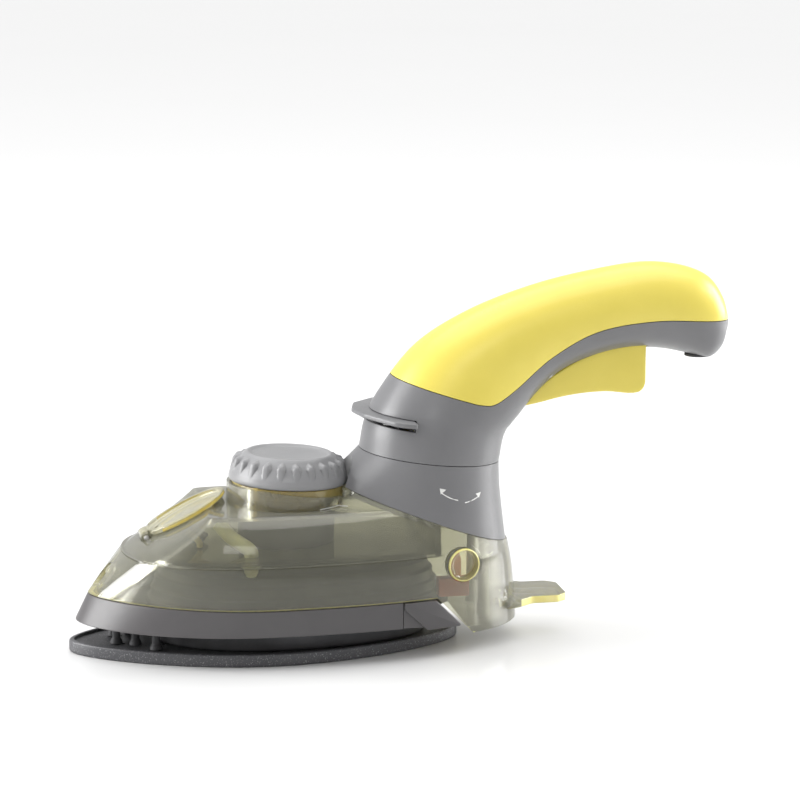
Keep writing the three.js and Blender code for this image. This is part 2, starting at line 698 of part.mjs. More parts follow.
// ---- grip ----
function gripRings(by, from, to, count) {
  const foot = (side) => new THREE.Vector3(side * seam.radius, 0, gap / 2).applyMatrix4(leaning(seam));
  const [outerFoot, innerFoot] = [foot(-1), foot(1)];
  const outerEdge = [outerFoot, ...gripSections.map(([x, z]) => new THREE.Vector3(x, 0, z))];
  const innerEdge = [innerFoot, ...gripSections.map(([, , x, z]) => new THREE.Vector3(x, 0, z))];
  const widths = [seam.radius, ...gripSections.map((row) => row[4])];
  const outer = new THREE.CatmullRomCurve3(outerEdge);
  const inner = new THREE.CatmullRomCurve3(innerEdge);
  const half = new THREE.SplineCurve(widths.map((width, i) => new THREE.Vector2(i, width)));
  const rings = [];
  for (let k = 0; k <= count; k += 1) {
    const t = THREE.MathUtils.lerp(from, to, k / count);
    const a = outer.getPoint(t);
    const b = inner.getPoint(t);
    const middle = a.clone().add(b).multiplyScalar(0.5);
    const across = b.clone().sub(middle);
    across.setLength(Math.max(across.length() - by, 1));
    const width = Math.max(half.getPoint(t).y - by, 1);
    const ring = [];
    for (let i = 0; i < roundSteps; i += 1) {
      const angle = (i / roundSteps) * 2 * Math.PI;
      const side = new THREE.Vector3(0, width * Math.sin(angle), 0);
      ring.push(across.clone().multiplyScalar(Math.cos(angle)).add(middle).add(side));
    }
    rings.push(ring);
  }
  return rings;
}

// line between the upper and the lower grip shell, as seen from the side
function splitLine(shift) {
  const bend = new THREE.SplineCurve([
    [16, 94.5], [22, 94], [31, 98.8], [46, 110.9], [63, 120], [86, 123.6], [112, 122.6],
  ].map(([x, z]) => new THREE.Vector2(x, z + shift)));
  const line = bend.getPoints(24).map((p) => [p.x, p.y]);
  return [[-40, 111.5 + shift], ...line, [140, 121.5 + shift], [140, 200], [-40, 200]];
}

function gripShell() {
  const outside = loft(gripRings(0, 0, 1, 17));
  const inside = cut(
    loft(gripRings(gripWall, 0.02, 0.955, 15)),
    onSwivel(box(-40, 40, -40, 40, -5, neckFloor)),
  );
  return { outside, inside };
}

function triggerLine(by) {
  return [[36.5 - by, 90.2 - by], [44, 92 - by], [52, 94 - by], [61, 95.2 - by], [70, 95.4 - by],
    [80.5, 94 - by], [83.6 + by, 95.2 - by], [85 + by, 98], [85.2 + by, 115.4 + by], [74, 114.4 + by],
    [62, 110.2 + by], [52, 105 + by], [44, 99.5 + by], [36.5 - by, 92.6 + by]];
}

const triggerLug = (by) => [
  [41.5 - by, 97], [49 + by, 99.5 - by], [48.6 + by, 106 + by], [43.6 - by, 106 + by],
];

// the slot is the trigger's outline with its clearance, swept through the squeeze
function triggerSlot() {
  const pin = new THREE.Vector3(triggerPin.x, 0, triggerPin.height);
  const swept = [0, 0.5, 1].map((share) => {
    const swing = THREE.MathUtils.degToRad(share * triggerSwing);
    return slab(triggerLine(slotClearance), slotHalf)
      .translate(-pin.x, 0, -pin.z).rotateY(-swing).translate(pin.x, 0, pin.z);
  });
  return join(...swept, slab(triggerLug(slotClearance), slotHalf));
}

const cordWay = () => join(
  rod(gland.radius + gap, 90, 116, 20),
  rod(gland.flange + gap, 90, gland.edge + 1 + gap, 20),
).translate(gland.x, 0, 0);

function leverPlan(by, back) {
  const reach = lever.radius + by;
  const side = lever.half + by;
  const start = Math.asin(side / reach);
  const arc = [];
  for (let i = 0; i <= 12; i += 1) {
    const angle = start - (2 * start * i) / 12;
    arc.push([-reach * Math.cos(angle), reach * Math.sin(angle)]);
  }
  return [[back, side], ...arc, [back, -side]];
}

function makeGrip() {
  const { outside, inside } = gripShell();
  const shell = cut(outside, inside);
  const upperCut = slab(splitLine(splitGap), 60);
  const lowerCut = slab(splitLine(-splitGap), 60);
  const hang = (x0, x1, z) => box(x0, x1, -2, 2, z, 160);
  const hangers = common(join(hang(60, 67, 124.5), hang(71, 81, 130.3)), outside);
  add('grip_upper', common(join(shell, hangers), upperCut), yellowPlastic);

  const lugs = [-1, 1].map((side) => slab([[39, 88], [51, 97], [50, 107], [42, 107]], 1)
    .translate(0, side * (slotHalf + 1.3), 0));
  const pinHole = rod(triggerPin.radius + gap, -20, 20, 14).rotateX(Math.PI / 2)
    .translate(triggerPin.x, 0, triggerPin.height);
  const leverRoom = lever.thickness + lever.travel + 2 * gap;
  const leverWay = plate(leverPlan(8, lever.back + 0.5), lever.bottom - lever.travel - gap, leverRoom);
  const leverSlot = onSwivel(leverWay);
  const spindleHole = onSwivel(rod(spindleRadius + gap, -5, neckFloor + 0.5));
  const lockHole = onSwivel(rod(2.4, -2, neckFloor + 0.5, 12).translate(-16, 0, 0));
  const lower = join(cut(shell, lowerCut, triggerSlot()), ...lugs.map((lug) => common(lug, outside)));
  add('grip_lower', cut(lower, pinHole, leverSlot, spindleHole, lockHole, cordWay()), greyPlastic);
}

function makeTrigger() {
  const body = slab(triggerLine(0), triggerHalf);
  const lug = slab(triggerLug(0), triggerHalf);
  const place = (geometry) => geometry.rotateX(Math.PI / 2).translate(triggerPin.x, 0, triggerPin.height);
  const hole = place(rod(triggerPin.radius + gap, -20, 20, 14));
  const seat = rod(3.2, 111, 130, 16).translate(63.5, 0, 0);
  add('trigger', cut(join(body, lug), hole, seat), yellowPlastic);
  add('trigger_pin', place(rod(triggerPin.radius, -10.2, 10.2, 14)), steel);
  add('trigger_spring', coil(2.4, 0.45, 12.9, 6).translate(63.5, 0, 111.3), steel);
  add('microswitch', box(70, 82, -3, 3, 120.5, 130), blackRubber);
}

function makeLever() {
  const blank = plate(leverPlan(0, lever.back), lever.bottom, lever.thickness);
  const pin = rod(1.9, neckFloor + 0.2, lever.bottom + 0.5, 12).translate(-16, 0, 0);
  add('release_lever', onSwivel(join(blank, pin)), greyPlastic);
  const spring = coil(3, 0.45, lever.bottom - neckFloor - 2 * gap, 4);
  add('release_spring', onSwivel(spring.translate(-16, 0, neckFloor + gap)), steel);
}

function makeGland() {
  const { edge, bore, flange, radius } = gland;
  const top = edge + gland.length;
  const sleeve = turned([[bore, edge], [flange, edge], [flange, edge + 1], [radius, edge + 1.3],
    [radius, top], [bore, top], [bore, edge]], 20);
  add('cord_gland', sleeve.translate(gland.x, 0, 0), blackRubber);
}

// ---- assembly ----
const outside = shellOutside();
const inside = shellInside();
makeSole();
makeHeater();
makeSkirt();
makePan();
makeTank(outside, inside);
makeLowerShell(outside, inside);
makeShield();
makeWaterFeed();
makeNozzle();
makeFlap();
makeThermostat();
makeKnob();
makeTurret();
makeSwivel();
makePump();
makeRear();
makeGrip();
makeTrigger();
makeLever();
makeGland();

export default group;
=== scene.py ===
# Travel steam iron with a swivelling grip: its fine surfaces, materials and the studio round it.
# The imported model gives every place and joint; lengths below are millimetres until a mesh is made.
import json
import math

import bpy
import bmesh
from mathutils import Matrix, Vector, noise
from mathutils.bvhtree import BVHTree


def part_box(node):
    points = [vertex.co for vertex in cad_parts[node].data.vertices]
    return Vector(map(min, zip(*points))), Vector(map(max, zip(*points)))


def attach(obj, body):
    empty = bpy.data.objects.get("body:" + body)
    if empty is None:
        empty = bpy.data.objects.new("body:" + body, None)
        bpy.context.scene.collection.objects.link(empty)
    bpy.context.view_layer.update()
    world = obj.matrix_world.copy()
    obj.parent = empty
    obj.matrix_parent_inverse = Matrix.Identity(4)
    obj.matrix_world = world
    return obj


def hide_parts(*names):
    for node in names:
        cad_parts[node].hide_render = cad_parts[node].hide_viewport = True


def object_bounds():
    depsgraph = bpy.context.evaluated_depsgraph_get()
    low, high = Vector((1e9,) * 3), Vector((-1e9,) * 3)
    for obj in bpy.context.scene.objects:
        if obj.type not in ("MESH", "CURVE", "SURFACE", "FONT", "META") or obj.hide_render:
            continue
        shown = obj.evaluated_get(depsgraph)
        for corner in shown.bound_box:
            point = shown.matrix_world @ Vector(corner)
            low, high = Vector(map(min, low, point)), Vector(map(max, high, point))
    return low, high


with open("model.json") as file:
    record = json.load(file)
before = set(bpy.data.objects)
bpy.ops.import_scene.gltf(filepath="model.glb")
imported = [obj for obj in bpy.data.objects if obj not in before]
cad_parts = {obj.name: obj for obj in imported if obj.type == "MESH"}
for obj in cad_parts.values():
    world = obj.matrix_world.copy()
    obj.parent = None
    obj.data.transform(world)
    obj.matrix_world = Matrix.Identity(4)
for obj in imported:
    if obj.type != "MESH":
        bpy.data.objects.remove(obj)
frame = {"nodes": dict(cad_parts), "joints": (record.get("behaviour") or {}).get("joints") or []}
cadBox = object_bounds()
mm = 0.001
print("frame loaded:", len(frame["nodes"]), "nodes")


def span(node):
    # a node's box in millimetres
    low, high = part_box(node)
    return low / mm, high / mm


def axisFrame(jointName):
    # Z up along the joint's axis, Y across the iron, the origin on the joint
    joint = next(j for j in frame["joints"] if j["name"] == jointName)
    up = Vector(joint["axis"])
    if up.z < 0:
        up = -up
    across = Vector((0, 1, 0))
    m = Matrix((across.cross(up), across, up)).transposed().to_4x4()
    m.translation = Vector(joint["pos_m"]) / mm
    return m


swivel = axisFrame("handle_swivel")
dial = axisFrame("knob_turn")
hinge = axisFrame("trigger_squeeze")  # only its place is used
flapPin = axisFrame("flap_open")

# outlines and curves


def curvePoint(points, t):
    # smooth curve through the points, as a flexible batten would lie
    place = t * (len(points) - 1)
    i = min(int(place), len(points) - 2)
    w = place - i
    b, c = points[i], points[i + 1]
    a = points[i - 1] if i > 0 else b * 2 - c
    d = points[i + 2] if i + 2 < len(points) else c * 2 - b
    e = [max((q - p).length, 1e-4) ** 0.5 for p, q in ((a, b), (b, c), (c, d))]
    m1 = ((b - a) / e[0] - (c - a) / (e[0] + e[1]) + (c - b) / e[1]) * e[1]
    m2 = ((c - b) / e[1] - (d - b) / (e[1] + e[2]) + (d - c) / e[2]) * e[1]
    return b + m1 * w + (b * -3 + c * 3 - m1 * 2 - m2) * w ** 2 + (b * 2 - c * 2 + m1 + m2) * w ** 3


def smoothLine(points, count):
    places = [Vector(p) for p in points]
    return [curvePoint(places, i / count) for i in range(count + 1)]


def soften(points, radius, closed=True, steps=4):
    # the same outline with its corners rounded
    pts = [Vector(p) for p in points]
    out = []
    for i, p in enumerate(pts):
        if not closed and i in (0, len(pts) - 1):
            out.append(p)
            continue
        before, after = pts[i - 1], pts[(i + 1) % len(pts)]
        reach = min(radius, (before - p).length * 0.48, (after - p).length * 0.48)
        a = p + (before - p).normalized() * reach
        b = p + (after - p).normalized() * reach
        for k in range(steps + 1):
            t = k / steps
            out.append(a * (1 - t) ** 2 + p * 2 * t * (1 - t) + b * t ** 2)
    return out


def bezier(a, b, c, d, steps):
    for k in range(steps):
        t = k / steps
        u = 1 - t
        yield [u ** 3 * a[i] + 3 * t * u ** 2 * b[i] + 3 * t * t * u * c[i] + t ** 3 * d[i] for i in (0, 1)]


hullSteps = 20  # points in each quarter of a boat-shaped outline


def hullRing(o, height, by=0.0):
    # boat-shaped ring at a height, drawn in by an amount
    nose, rear, half = o["nose"] + by, o["rear"] - by, o["half"] - by
    noseBlunt = max(o["noseBlunt"] - by * 0.6, 3)
    rearBlunt = max(o["rearBlunt"] - by * 0.6, 3)
    wide = o["wide"]
    near = [
        *bezier((nose, 0), (nose, -noseBlunt), (wide - o["noseReach"], -half), (wide, -half), hullSteps),
        *bezier((wide, -half), (wide + o["rearReach"], -half), (rear, -rearBlunt), (rear, 0), hullSteps),
    ]
    far = [[x, -y] for x, y in reversed(near[1:])]
    return [Vector((x, y, height)) for x, y in [*near, [rear, 0], *far]]


def halfAt(o, x, by=0.0):
    # half width of an outline at a place along it
    ring = hullRing(o, 0, by)[: 2 * hullSteps + 1]
    for a, b in zip(ring, ring[1:]):
        if a.x <= x <= b.x:
            return -(a.y + (b.y - a.y) * (x - a.x) / max(b.x - a.x, 1e-6))
    return 0.0


# meshes


def linked(name, data):
    thing = bpy.data.objects.new(name, data)
    bpy.context.scene.collection.objects.link(thing)
    return thing


def newPiece(name, verts, faces):
    mesh = bpy.data.meshes.new(name)
    mesh.from_pydata([Vector(v) * mm for v in verts], [], faces)
    mesh.validate()
    work = bmesh.new()
    work.from_mesh(mesh)
    bmesh.ops.recalc_face_normals(work, faces=work.faces[:])
    work.to_mesh(mesh)
    work.free()
    return linked(name, mesh)


def loft(name, rings, loop=False, tip=None):
    # skin over rings of equal counts; capped at both ends or drawn to a tip, or joined end to end
    count = len(rings[0])
    verts = [p for ring in rings for p in ring]
    faces = []
    bands = len(rings) if loop else len(rings) - 1
    for i in range(bands):
        a, b = i * count, ((i + 1) % len(rings)) * count
        for j in range(count):
            k = (j + 1) % count
            faces.append((a + j, a + k, b + k, b + j))
    if not loop:
        faces.append(tuple(reversed(range(count))))
        last = range(len(verts) - count, len(verts))
        if tip:
            faces += [(last[j], last[(j + 1) % count], len(verts)) for j in range(count)]
            verts.append(tip)
        else:
            faces.append(tuple(last))
    return newPiece(name, verts, faces)


def turned(name, profile, place=None, steps=64):
    # piece turned about its own Z from (radius, height) pairs; on the axis at both ends, or a closed loop
    place = place or Matrix()
    solid = abs(profile[0][0]) < 1e-6
    verts, rows = [], []
    for r, h in profile:
        if abs(r) < 1e-6:
            rows.append([len(verts)] * steps)
            verts.append(place @ Vector((0, 0, h)))
            continue
        rows.append(list(range(len(verts), len(verts) + steps)))
        for k in range(steps):
            angle = 2 * math.pi * k / steps
            verts.append(place @ Vector((r * math.cos(angle), r * math.sin(angle), h)))
    if not solid:
        rows.append(rows[0])
    faces = []
    for low, high in zip(rows, rows[1:]):
        for k in range(steps):
            corners = [low[k], low[(k + 1) % steps], high[(k + 1) % steps], high[k]]
            faces.append(tuple(dict.fromkeys(corners)))
    return newPiece(name, verts, faces)


def bar(name, radius, low, high, place=None, round=0.3, steps=48):
    # round bar with softened rims
    profile = soften([(0, low), (radius, low), (radius, high), (0, high)], round, closed=False)
    return turned(name, profile, place, steps)


def rod(radius, low, high, place=None, steps=64):
    # plain round bar, mostly to cut with
    return turned("rod", [(0, low), (radius, low), (radius, high), (0, high)], place, steps)


def at(x, y=0.0, z=0.0):
    return Matrix.Translation((x, y, z))


def pressed(name, outline, depth, place, round=0.0, segments=3):
    # flat outline carried along Z, both rims rounded
    work = bmesh.new()
    corners = [work.verts.new((p[0], p[1], 0)) for p in outline]
    face = work.faces.new(corners)
    grown = bmesh.ops.extrude_face_region(work, geom=[face])["geom"]
    top = [g for g in grown if isinstance(g, bmesh.types.BMVert)]
    bmesh.ops.translate(work, vec=(0, 0, depth), verts=top)
    if round:
        rims = [e for e in work.edges if abs(e.verts[0].co.z - e.verts[1].co.z) < 1e-6]
        bmesh.ops.bevel(work, geom=rims, offset=round, segments=segments, profile=0.5, affect="EDGES")
    bmesh.ops.transform(work, matrix=Matrix.Scale(mm, 4) @ place, verts=work.verts[:])
    bmesh.ops.recalc_face_normals(work, faces=work.faces[:])
    mesh = bpy.data.meshes.new(name)
    work.to_mesh(mesh)
    work.free()
    return linked(name, mesh)


# an outline drawn in side view: X stays, its second number is the height, its depth runs across
sideways = Matrix(((1, 0, 0, 0), (0, 0, 1, 0), (0, 1, 0, 0), (0, 0, 0, 1)))
layAcross = Matrix.Rotation(math.pi / 2, 4, "X")


def slab(name, outline, halfWidth, round=0.0, segments=3):
    return pressed(name, outline, 2 * halfWidth, at(0, -halfWidth) @ sideways, round, segments)


def block(x0, x1, y0, y1, z0, z1, place=None):
    outline = [(x0, y0), (x1, y0), (x1, y1), (x0, y1)]
    return pressed("block", outline, z1 - z0, (place or Matrix()) @ at(0, 0, z0))


def bake(piece):
    graph = bpy.context.evaluated_depsgraph_get()
    done = bpy.data.meshes.new_from_object(piece.evaluated_get(graph), depsgraph=graph)
    piece.modifiers.clear()
    done.materials.clear()
    old = piece.data
    piece.data = done
    bpy.data.meshes.remove(old)
    return piece


def shaped(piece, how, *tools):
    # cuts, joins or trims a piece with tools, which are used up
    for tool in tools:
        step = piece.modifiers.new("shape", "BOOLEAN")
        step.operation, step.solver, step.object = how, "MANIFOLD", tool
    bake(piece)
    for tool in tools:
        bpy.data.objects.remove(tool)
    return piece


def cut(piece, *tools):
    return shaped(piece, "DIFFERENCE", *tools)


def join(piece, *tools):
    return shaped(piece, "UNION", *tools)


def trim(piece, *tools):
    return shaped(piece, "INTERSECT", *tools)


def copyOf(piece):
    return linked(piece.name, piece.data.copy())


def smooth(piece, angle=35.0):
    mesh = piece.data
    work = bmesh.new()
    work.from_mesh(mesh)
    bmesh.ops.remove_doubles(work, verts=work.verts[:], dist=2e-6)
    bmesh.ops.dissolve_degenerate(work, edges=work.edges[:], dist=2e-6)
    work.to_mesh(mesh)
    work.free()
    mesh.shade_smooth()
    mesh.set_sharp_from_angle(angle=math.radians(angle))
    return piece


def settle(piece, body, slotName, skin, *nodes, angle=35.0):
    smooth(piece, angle)
    if not piece.data.materials:
        piece.data.materials.append(skin)
    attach(piece, body)
    if nodes:
        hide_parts(*nodes)
    return piece


# materials


def newMaterial(name):
    m = bpy.data.materials.new(name)
    m.use_nodes = True
    m.node_tree.nodes.clear()
    return m, m.node_tree


def node(tree, kind, **sockets):
    n = tree.nodes.new(kind)
    for key, value in sockets.items():
        if key in n.inputs:
            n.inputs[key].default_value = value
        else:
            setattr(n, key, value)
    return n


def noiseAt(tree, size, detail=3.0, stretch=(1, 1, 1)):
    # noise with blotches of the given size in millimetres
    place = node(tree, "ShaderNodeTexCoord")
    grow = node(tree, "ShaderNodeMapping")
    grow.inputs["Scale"].default_value = [s / (size * mm) for s in stretch]
    grain = node(tree, "ShaderNodeTexNoise", Scale=1.0, Detail=detail, Roughness=0.55)
    tree.links.new(place.outputs["Object"], grow.inputs["Vector"])
    tree.links.new(grow.outputs["Vector"], grain.inputs["Vector"])
    return grain.outputs["Fac"]


def spread(tree, value, low, high, fromLow=0.3, fromHigh=0.7):
    r = node(tree, "ShaderNodeMapRange",
             **{"From Min": fromLow, "From Max": fromHigh, "To Min": low, "To Max": high})
    tree.links.new(value, r.inputs["Value"])
    return r.outputs["Result"]


def blendColour(tree, amount, a, b):
    mix = node(tree, "ShaderNodeMix", data_type="RGBA")
    for socket, value in (("A", a), ("B", b)):
        target = [s for s in mix.inputs if s.name == socket and s.type == "RGBA"][0]
        if isinstance(value, bpy.types.NodeSocket):
            tree.links.new(value, target)
        else:
            target.default_value = (*value, 1)
    if isinstance(amount, bpy.types.NodeSocket):
        tree.links.new(amount, mix.inputs["Factor"])
    else:
        mix.inputs["Factor"].default_value = amount
    return [s for s in mix.outputs if s.type == "RGBA"][0]


def product(tree, a, b, operation="MULTIPLY"):
    m = node(tree, "ShaderNodeMath", operation=operation)
    for i, value in enumerate((a, b)):
        if isinstance(value, bpy.types.NodeSocket):
            tree.links.new(value, m.inputs[i])
        else:
            m.inputs[i].default_value = value
    return m.outputs[0]


def edgeMask(tree, radius):
    # 1 where the surface turns sharply within the radius, for rubbed edges
    soft = node(tree, "ShaderNodeBevel", samples=4, Radius=radius * mm)
    flat = node(tree, "ShaderNodeNewGeometry")
    dot = node(tree, "ShaderNodeVectorMath", operation="DOT_PRODUCT")
    tree.links.new(soft.outputs["Normal"], dot.inputs[0])
    tree.links.new(flat.outputs["Normal"], dot.inputs[1])
    return spread(tree, dot.outputs["Value"], 1.0, 0.0, 0.75, 0.99)


def bumped(tree, height, strength, distance, normal=None):
    b = node(tree, "ShaderNodeBump", Strength=strength, Distance=distance * mm)
    tree.links.new(height, b.inputs["Height"])
    if normal:
        tree.links.new(normal, b.inputs["Normal"])
    return b.outputs["Normal"]


def solidFinish(name, o):
    # moulded, cast or coated surface: blotchy colour, fine grain, rubbed edges
    m, tree = newMaterial(name)
    out = node(tree, "ShaderNodeOutputMaterial")
    shader = node(tree, "ShaderNodeBsdfPrincipled")
    blotch = noiseAt(tree, o.get("blotch", 18), 4)
    grain = noiseAt(tree, o.get("grain", 0.35), 2, o.get("brush", (1, 1, 1)))
    colour = blendColour(tree, spread(tree, blotch, 0.0, 1.0), o["colour"], o["shade"])
    if "speck" in o:
        specks = spread(tree, noiseAt(tree, o["speckSize"], 1), 0.0, 1.0, 0.62, 0.68)
        colour = blendColour(tree, specks, colour, o["speck"])
    rubbed = spread(tree, noiseAt(tree, 2.5, 4), 0.1, 1.0)
    worn = product(tree, edgeMask(tree, o.get("edge", 0.5)), rubbed)
    colour = blendColour(tree, product(tree, worn, o.get("wear", 0.25)), colour, o["worn"])
    tree.links.new(colour, shader.inputs["Base Color"])
    low, high = o["roughness"]
    rough = spread(tree, blotch, low, high)
    rough = product(tree, rough, product(tree, spread(tree, grain, -0.04, 0.04), 0.0, "ADD"), "ADD")
    tree.links.new(rough, shader.inputs["Roughness"])
    shader.inputs["Metallic"].default_value = o.get("metal", 0.0)
    shader.inputs["IOR"].default_value = 1.48
    if "glow" in o:
        shader.inputs["Subsurface Weight"].default_value = o["glow"]
        shader.inputs["Subsurface Radius"].default_value = (0.6, 0.5, 0.15)
        shader.inputs["Subsurface Scale"].default_value = 3 * mm
    normal = bumped(tree, grain, o.get("bump", 0.12), 0.05)
    tree.links.new(normal, shader.inputs["Normal"])
    tree.links.new(shader.outputs[0], out.inputs["Surface"])
    return m


def clearFinish(name, o):
    # tinted see-through plastic: clear through the face, milky and shiny where it is seen edge on
    m, tree = newMaterial(name)
    out = node(tree, "ShaderNodeOutputMaterial")
    through = node(tree, "ShaderNodeBsdfTransparent")
    skin = node(tree, "ShaderNodeBsdfPrincipled")
    cloud = noiseAt(tree, o.get("blotch", 14), 3)
    ripple = noiseAt(tree, 9, 2)
    tint = blendColour(tree, spread(tree, cloud, 0.0, 1.0), o["tint"], o["tintDeep"])
    tree.links.new(tint, through.inputs["Color"])
    body = blendColour(tree, spread(tree, ripple, 0.0, 1.0), o["haze"], o["hazeDeep"])
    tree.links.new(body, skin.inputs["Base Color"])
    tree.links.new(spread(tree, cloud, 0.05, 0.12), skin.inputs["Roughness"])
    skin.inputs["IOR"].default_value = 1.49
    skin.inputs["Specular IOR Level"].default_value = 0.9
    normal = bumped(tree, ripple, 0.12, 0.3)
    tree.links.new(normal, skin.inputs["Normal"])
    facing = node(tree, "ShaderNodeLayerWeight", Blend=0.35)
    milky = spread(tree, facing.outputs["Facing"], o["milk"], o["milkEdge"], 0.0, 1.0)
    milky = product(tree, milky, spread(tree, cloud, 0.9, 1.1))
    mix = node(tree, "ShaderNodeMixShader")
    tree.links.new(milky, mix.inputs[0])
    tree.links.new(through.outputs[0], mix.inputs[1])
    tree.links.new(skin.outputs[0], mix.inputs[2])
    sheen = node(tree, "ShaderNodeFresnel", IOR=1.49)
    gloss = node(tree, "ShaderNodeBsdfAnisotropic", Roughness=0.06)
    tree.links.new(normal, gloss.inputs["Normal"])
    glassy = node(tree, "ShaderNodeMixShader")
    tree.links.new(product(tree, sheen.outputs["Fac"], 0.8), glassy.inputs[0])
    tree.links.new(mix.outputs[0], glassy.inputs[1])
    tree.links.new(gloss.outputs[0], glassy.inputs[2])
    tree.links.new(glassy.outputs[0], out.inputs["Surface"])
    return m


finishes = {
    "greyPlastic": {"colour": (0.165, 0.165, 0.17), "shade": (0.15, 0.15, 0.155),
        "worn": (0.27, 0.27, 0.28), "roughness": (0.3, 0.38), "bump": 0.08},
    # the grey plastic darkened as painted shade for the skirt band and corner plates; the thermostat sleeve
    # takes it too
    "paintedShadeGrey": {"colour": (0.085, 0.081, 0.083), "shade": (0.074, 0.07, 0.072),
        "worn": (0.2, 0.2, 0.2), "roughness": (0.3, 0.38), "bump": 0.08},
    "knobPlastic": {"colour": (0.245, 0.245, 0.25), "shade": (0.225, 0.225, 0.23),
        "worn": (0.36, 0.36, 0.37), "roughness": (0.3, 0.38), "bump": 0.08, "edge": 0.35, "wear": 0.5},
    "yellowPlastic": {"colour": (0.74, 0.62, 0.115), "shade": (0.70, 0.585, 0.10),
        "worn": (0.82, 0.74, 0.3), "roughness": (0.28, 0.36), "bump": 0.05, "glow": 0.1},
    "darkPlastic": {"colour": (0.045, 0.044, 0.038), "shade": (0.034, 0.033, 0.028),
        "worn": (0.09, 0.088, 0.075), "roughness": (0.4, 0.55), "bump": 0.05},
    "soleCoating": {"colour": (0.075, 0.075, 0.08), "shade": (0.06, 0.06, 0.065),
        "worn": (0.3, 0.3, 0.3), "speck": (0.22, 0.22, 0.23), "speckSize": 0.5,
        "roughness": (0.35, 0.5), "bump": 0.2},
    "castMetal": {"colour": (0.09, 0.09, 0.095), "shade": (0.06, 0.06, 0.062),
        "worn": (0.2, 0.2, 0.2), "roughness": (0.5, 0.7), "metal": 0.4, "grain": 0.6, "bump": 0.4},
    "steel": {"colour": (0.62, 0.61, 0.6), "shade": (0.5, 0.5, 0.49), "worn": (0.8, 0.8, 0.8),
        "roughness": (0.25, 0.38), "metal": 1.0, "brush": (1, 8, 8)},
    "foil": {"colour": (0.16, 0.16, 0.2), "shade": (0.05, 0.05, 0.07), "worn": (0.5, 0.5, 0.5),
        "roughness": (0.2, 0.45), "metal": 0.8, "blotch": 3, "bump": 0.5, "grain": 0.8},
    "creamRubber": {"colour": (0.72, 0.72, 0.5), "shade": (0.64, 0.63, 0.42),
        "worn": (0.8, 0.8, 0.65), "roughness": (0.4, 0.55), "glow": 0.3},
    "blackRubber": {"colour": (0.07, 0.07, 0.073), "shade": (0.055, 0.055, 0.058),
        "worn": (0.09, 0.09, 0.09), "roughness": (0.6, 0.75), "grain": 0.5, "bump": 0.3},
    "whitePlastic": {"colour": (0.78, 0.77, 0.7), "shade": (0.7, 0.69, 0.62),
        "worn": (0.85, 0.85, 0.8), "roughness": (0.35, 0.45), "glow": 0.1},
    "redPlastic": {"colour": (0.75, 0.22, 0.1), "shade": (0.65, 0.16, 0.07), "worn": (0.8, 0.4, 0.3),
        "roughness": (0.3, 0.4), "glow": 0.2},
    "paleInk": {"colour": (0.75, 0.75, 0.73), "shade": (0.65, 0.65, 0.63), "worn": (0.8, 0.8, 0.8),
        "roughness": (0.5, 0.6)},
    # painted edge glint: pale yellow colour laid on the clear parts' cut rims to stand for the light caught
    # there
    "paintedEdgeGlint": {"colour": (0.86, 0.80, 0.36), "shade": (0.78, 0.70, 0.24), "worn": (0.95, 0.9, 0.6),
        "roughness": (0.15, 0.3), "glow": 0.4, "blotch": 9},
}
finish = {name: solidFinish(name, o) for name, o in finishes.items()}

clearFinishes = {
    "clearShell": {"tint": (0.87, 0.865, 0.79), "tintDeep": (0.83, 0.825, 0.73),
        "haze": (0.44, 0.435, 0.37), "hazeDeep": (0.38, 0.375, 0.31), "milk": 0.13, "milkEdge": 0.55},
    "clearFlap": {"tint": (0.96, 0.95, 0.86), "tintDeep": (0.94, 0.92, 0.78),
        "haze": (0.8, 0.78, 0.6), "hazeDeep": (0.75, 0.72, 0.5), "milk": 0.08, "milkEdge": 0.5},
    "amber": {"tint": (0.96, 0.85, 0.46), "tintDeep": (0.90, 0.76, 0.32), "haze": (0.80, 0.68, 0.30),
        "hazeDeep": (0.64, 0.52, 0.18), "milk": 0.3, "milkEdge": 0.8, "blotch": 5},
    "yellowGel": {"tint": (0.97, 0.85, 0.30), "tintDeep": (0.95, 0.78, 0.2),
        "haze": (0.92, 0.78, 0.26), "hazeDeep": (0.85, 0.66, 0.16), "milk": 0.45, "milkEdge": 0.85,
        "blotch": 6},
    "inletGel": {"tint": (0.97, 0.88, 0.45), "tintDeep": (0.95, 0.84, 0.36),
        "haze": (0.86, 0.76, 0.36), "hazeDeep": (0.8, 0.68, 0.26), "milk": 0.7, "milkEdge": 0.9,
        "blotch": 6},
    "lensClear": {"tint": (0.96, 0.94, 0.82), "tintDeep": (0.94, 0.92, 0.76),
        "haze": (0.85, 0.82, 0.6), "hazeDeep": (0.8, 0.76, 0.5), "milk": 0.08, "milkEdge": 0.6,
        "blotch": 4},
}
finish.update({name: clearFinish(name, o) for name, o in clearFinishes.items()})
print("finishes mixed:", len(finish))

# plan outlines: ends and widths come from the nodes, the bluntness is set here

soleLow, soleHigh = span("soleplate")
skirtLow, skirtHigh = span("skirt")
shellLow, shellHigh = span("lower_shell")
tankLow, tankHigh = span("tank_shell")
chamberLow, chamberHigh = span("steam_chamber")

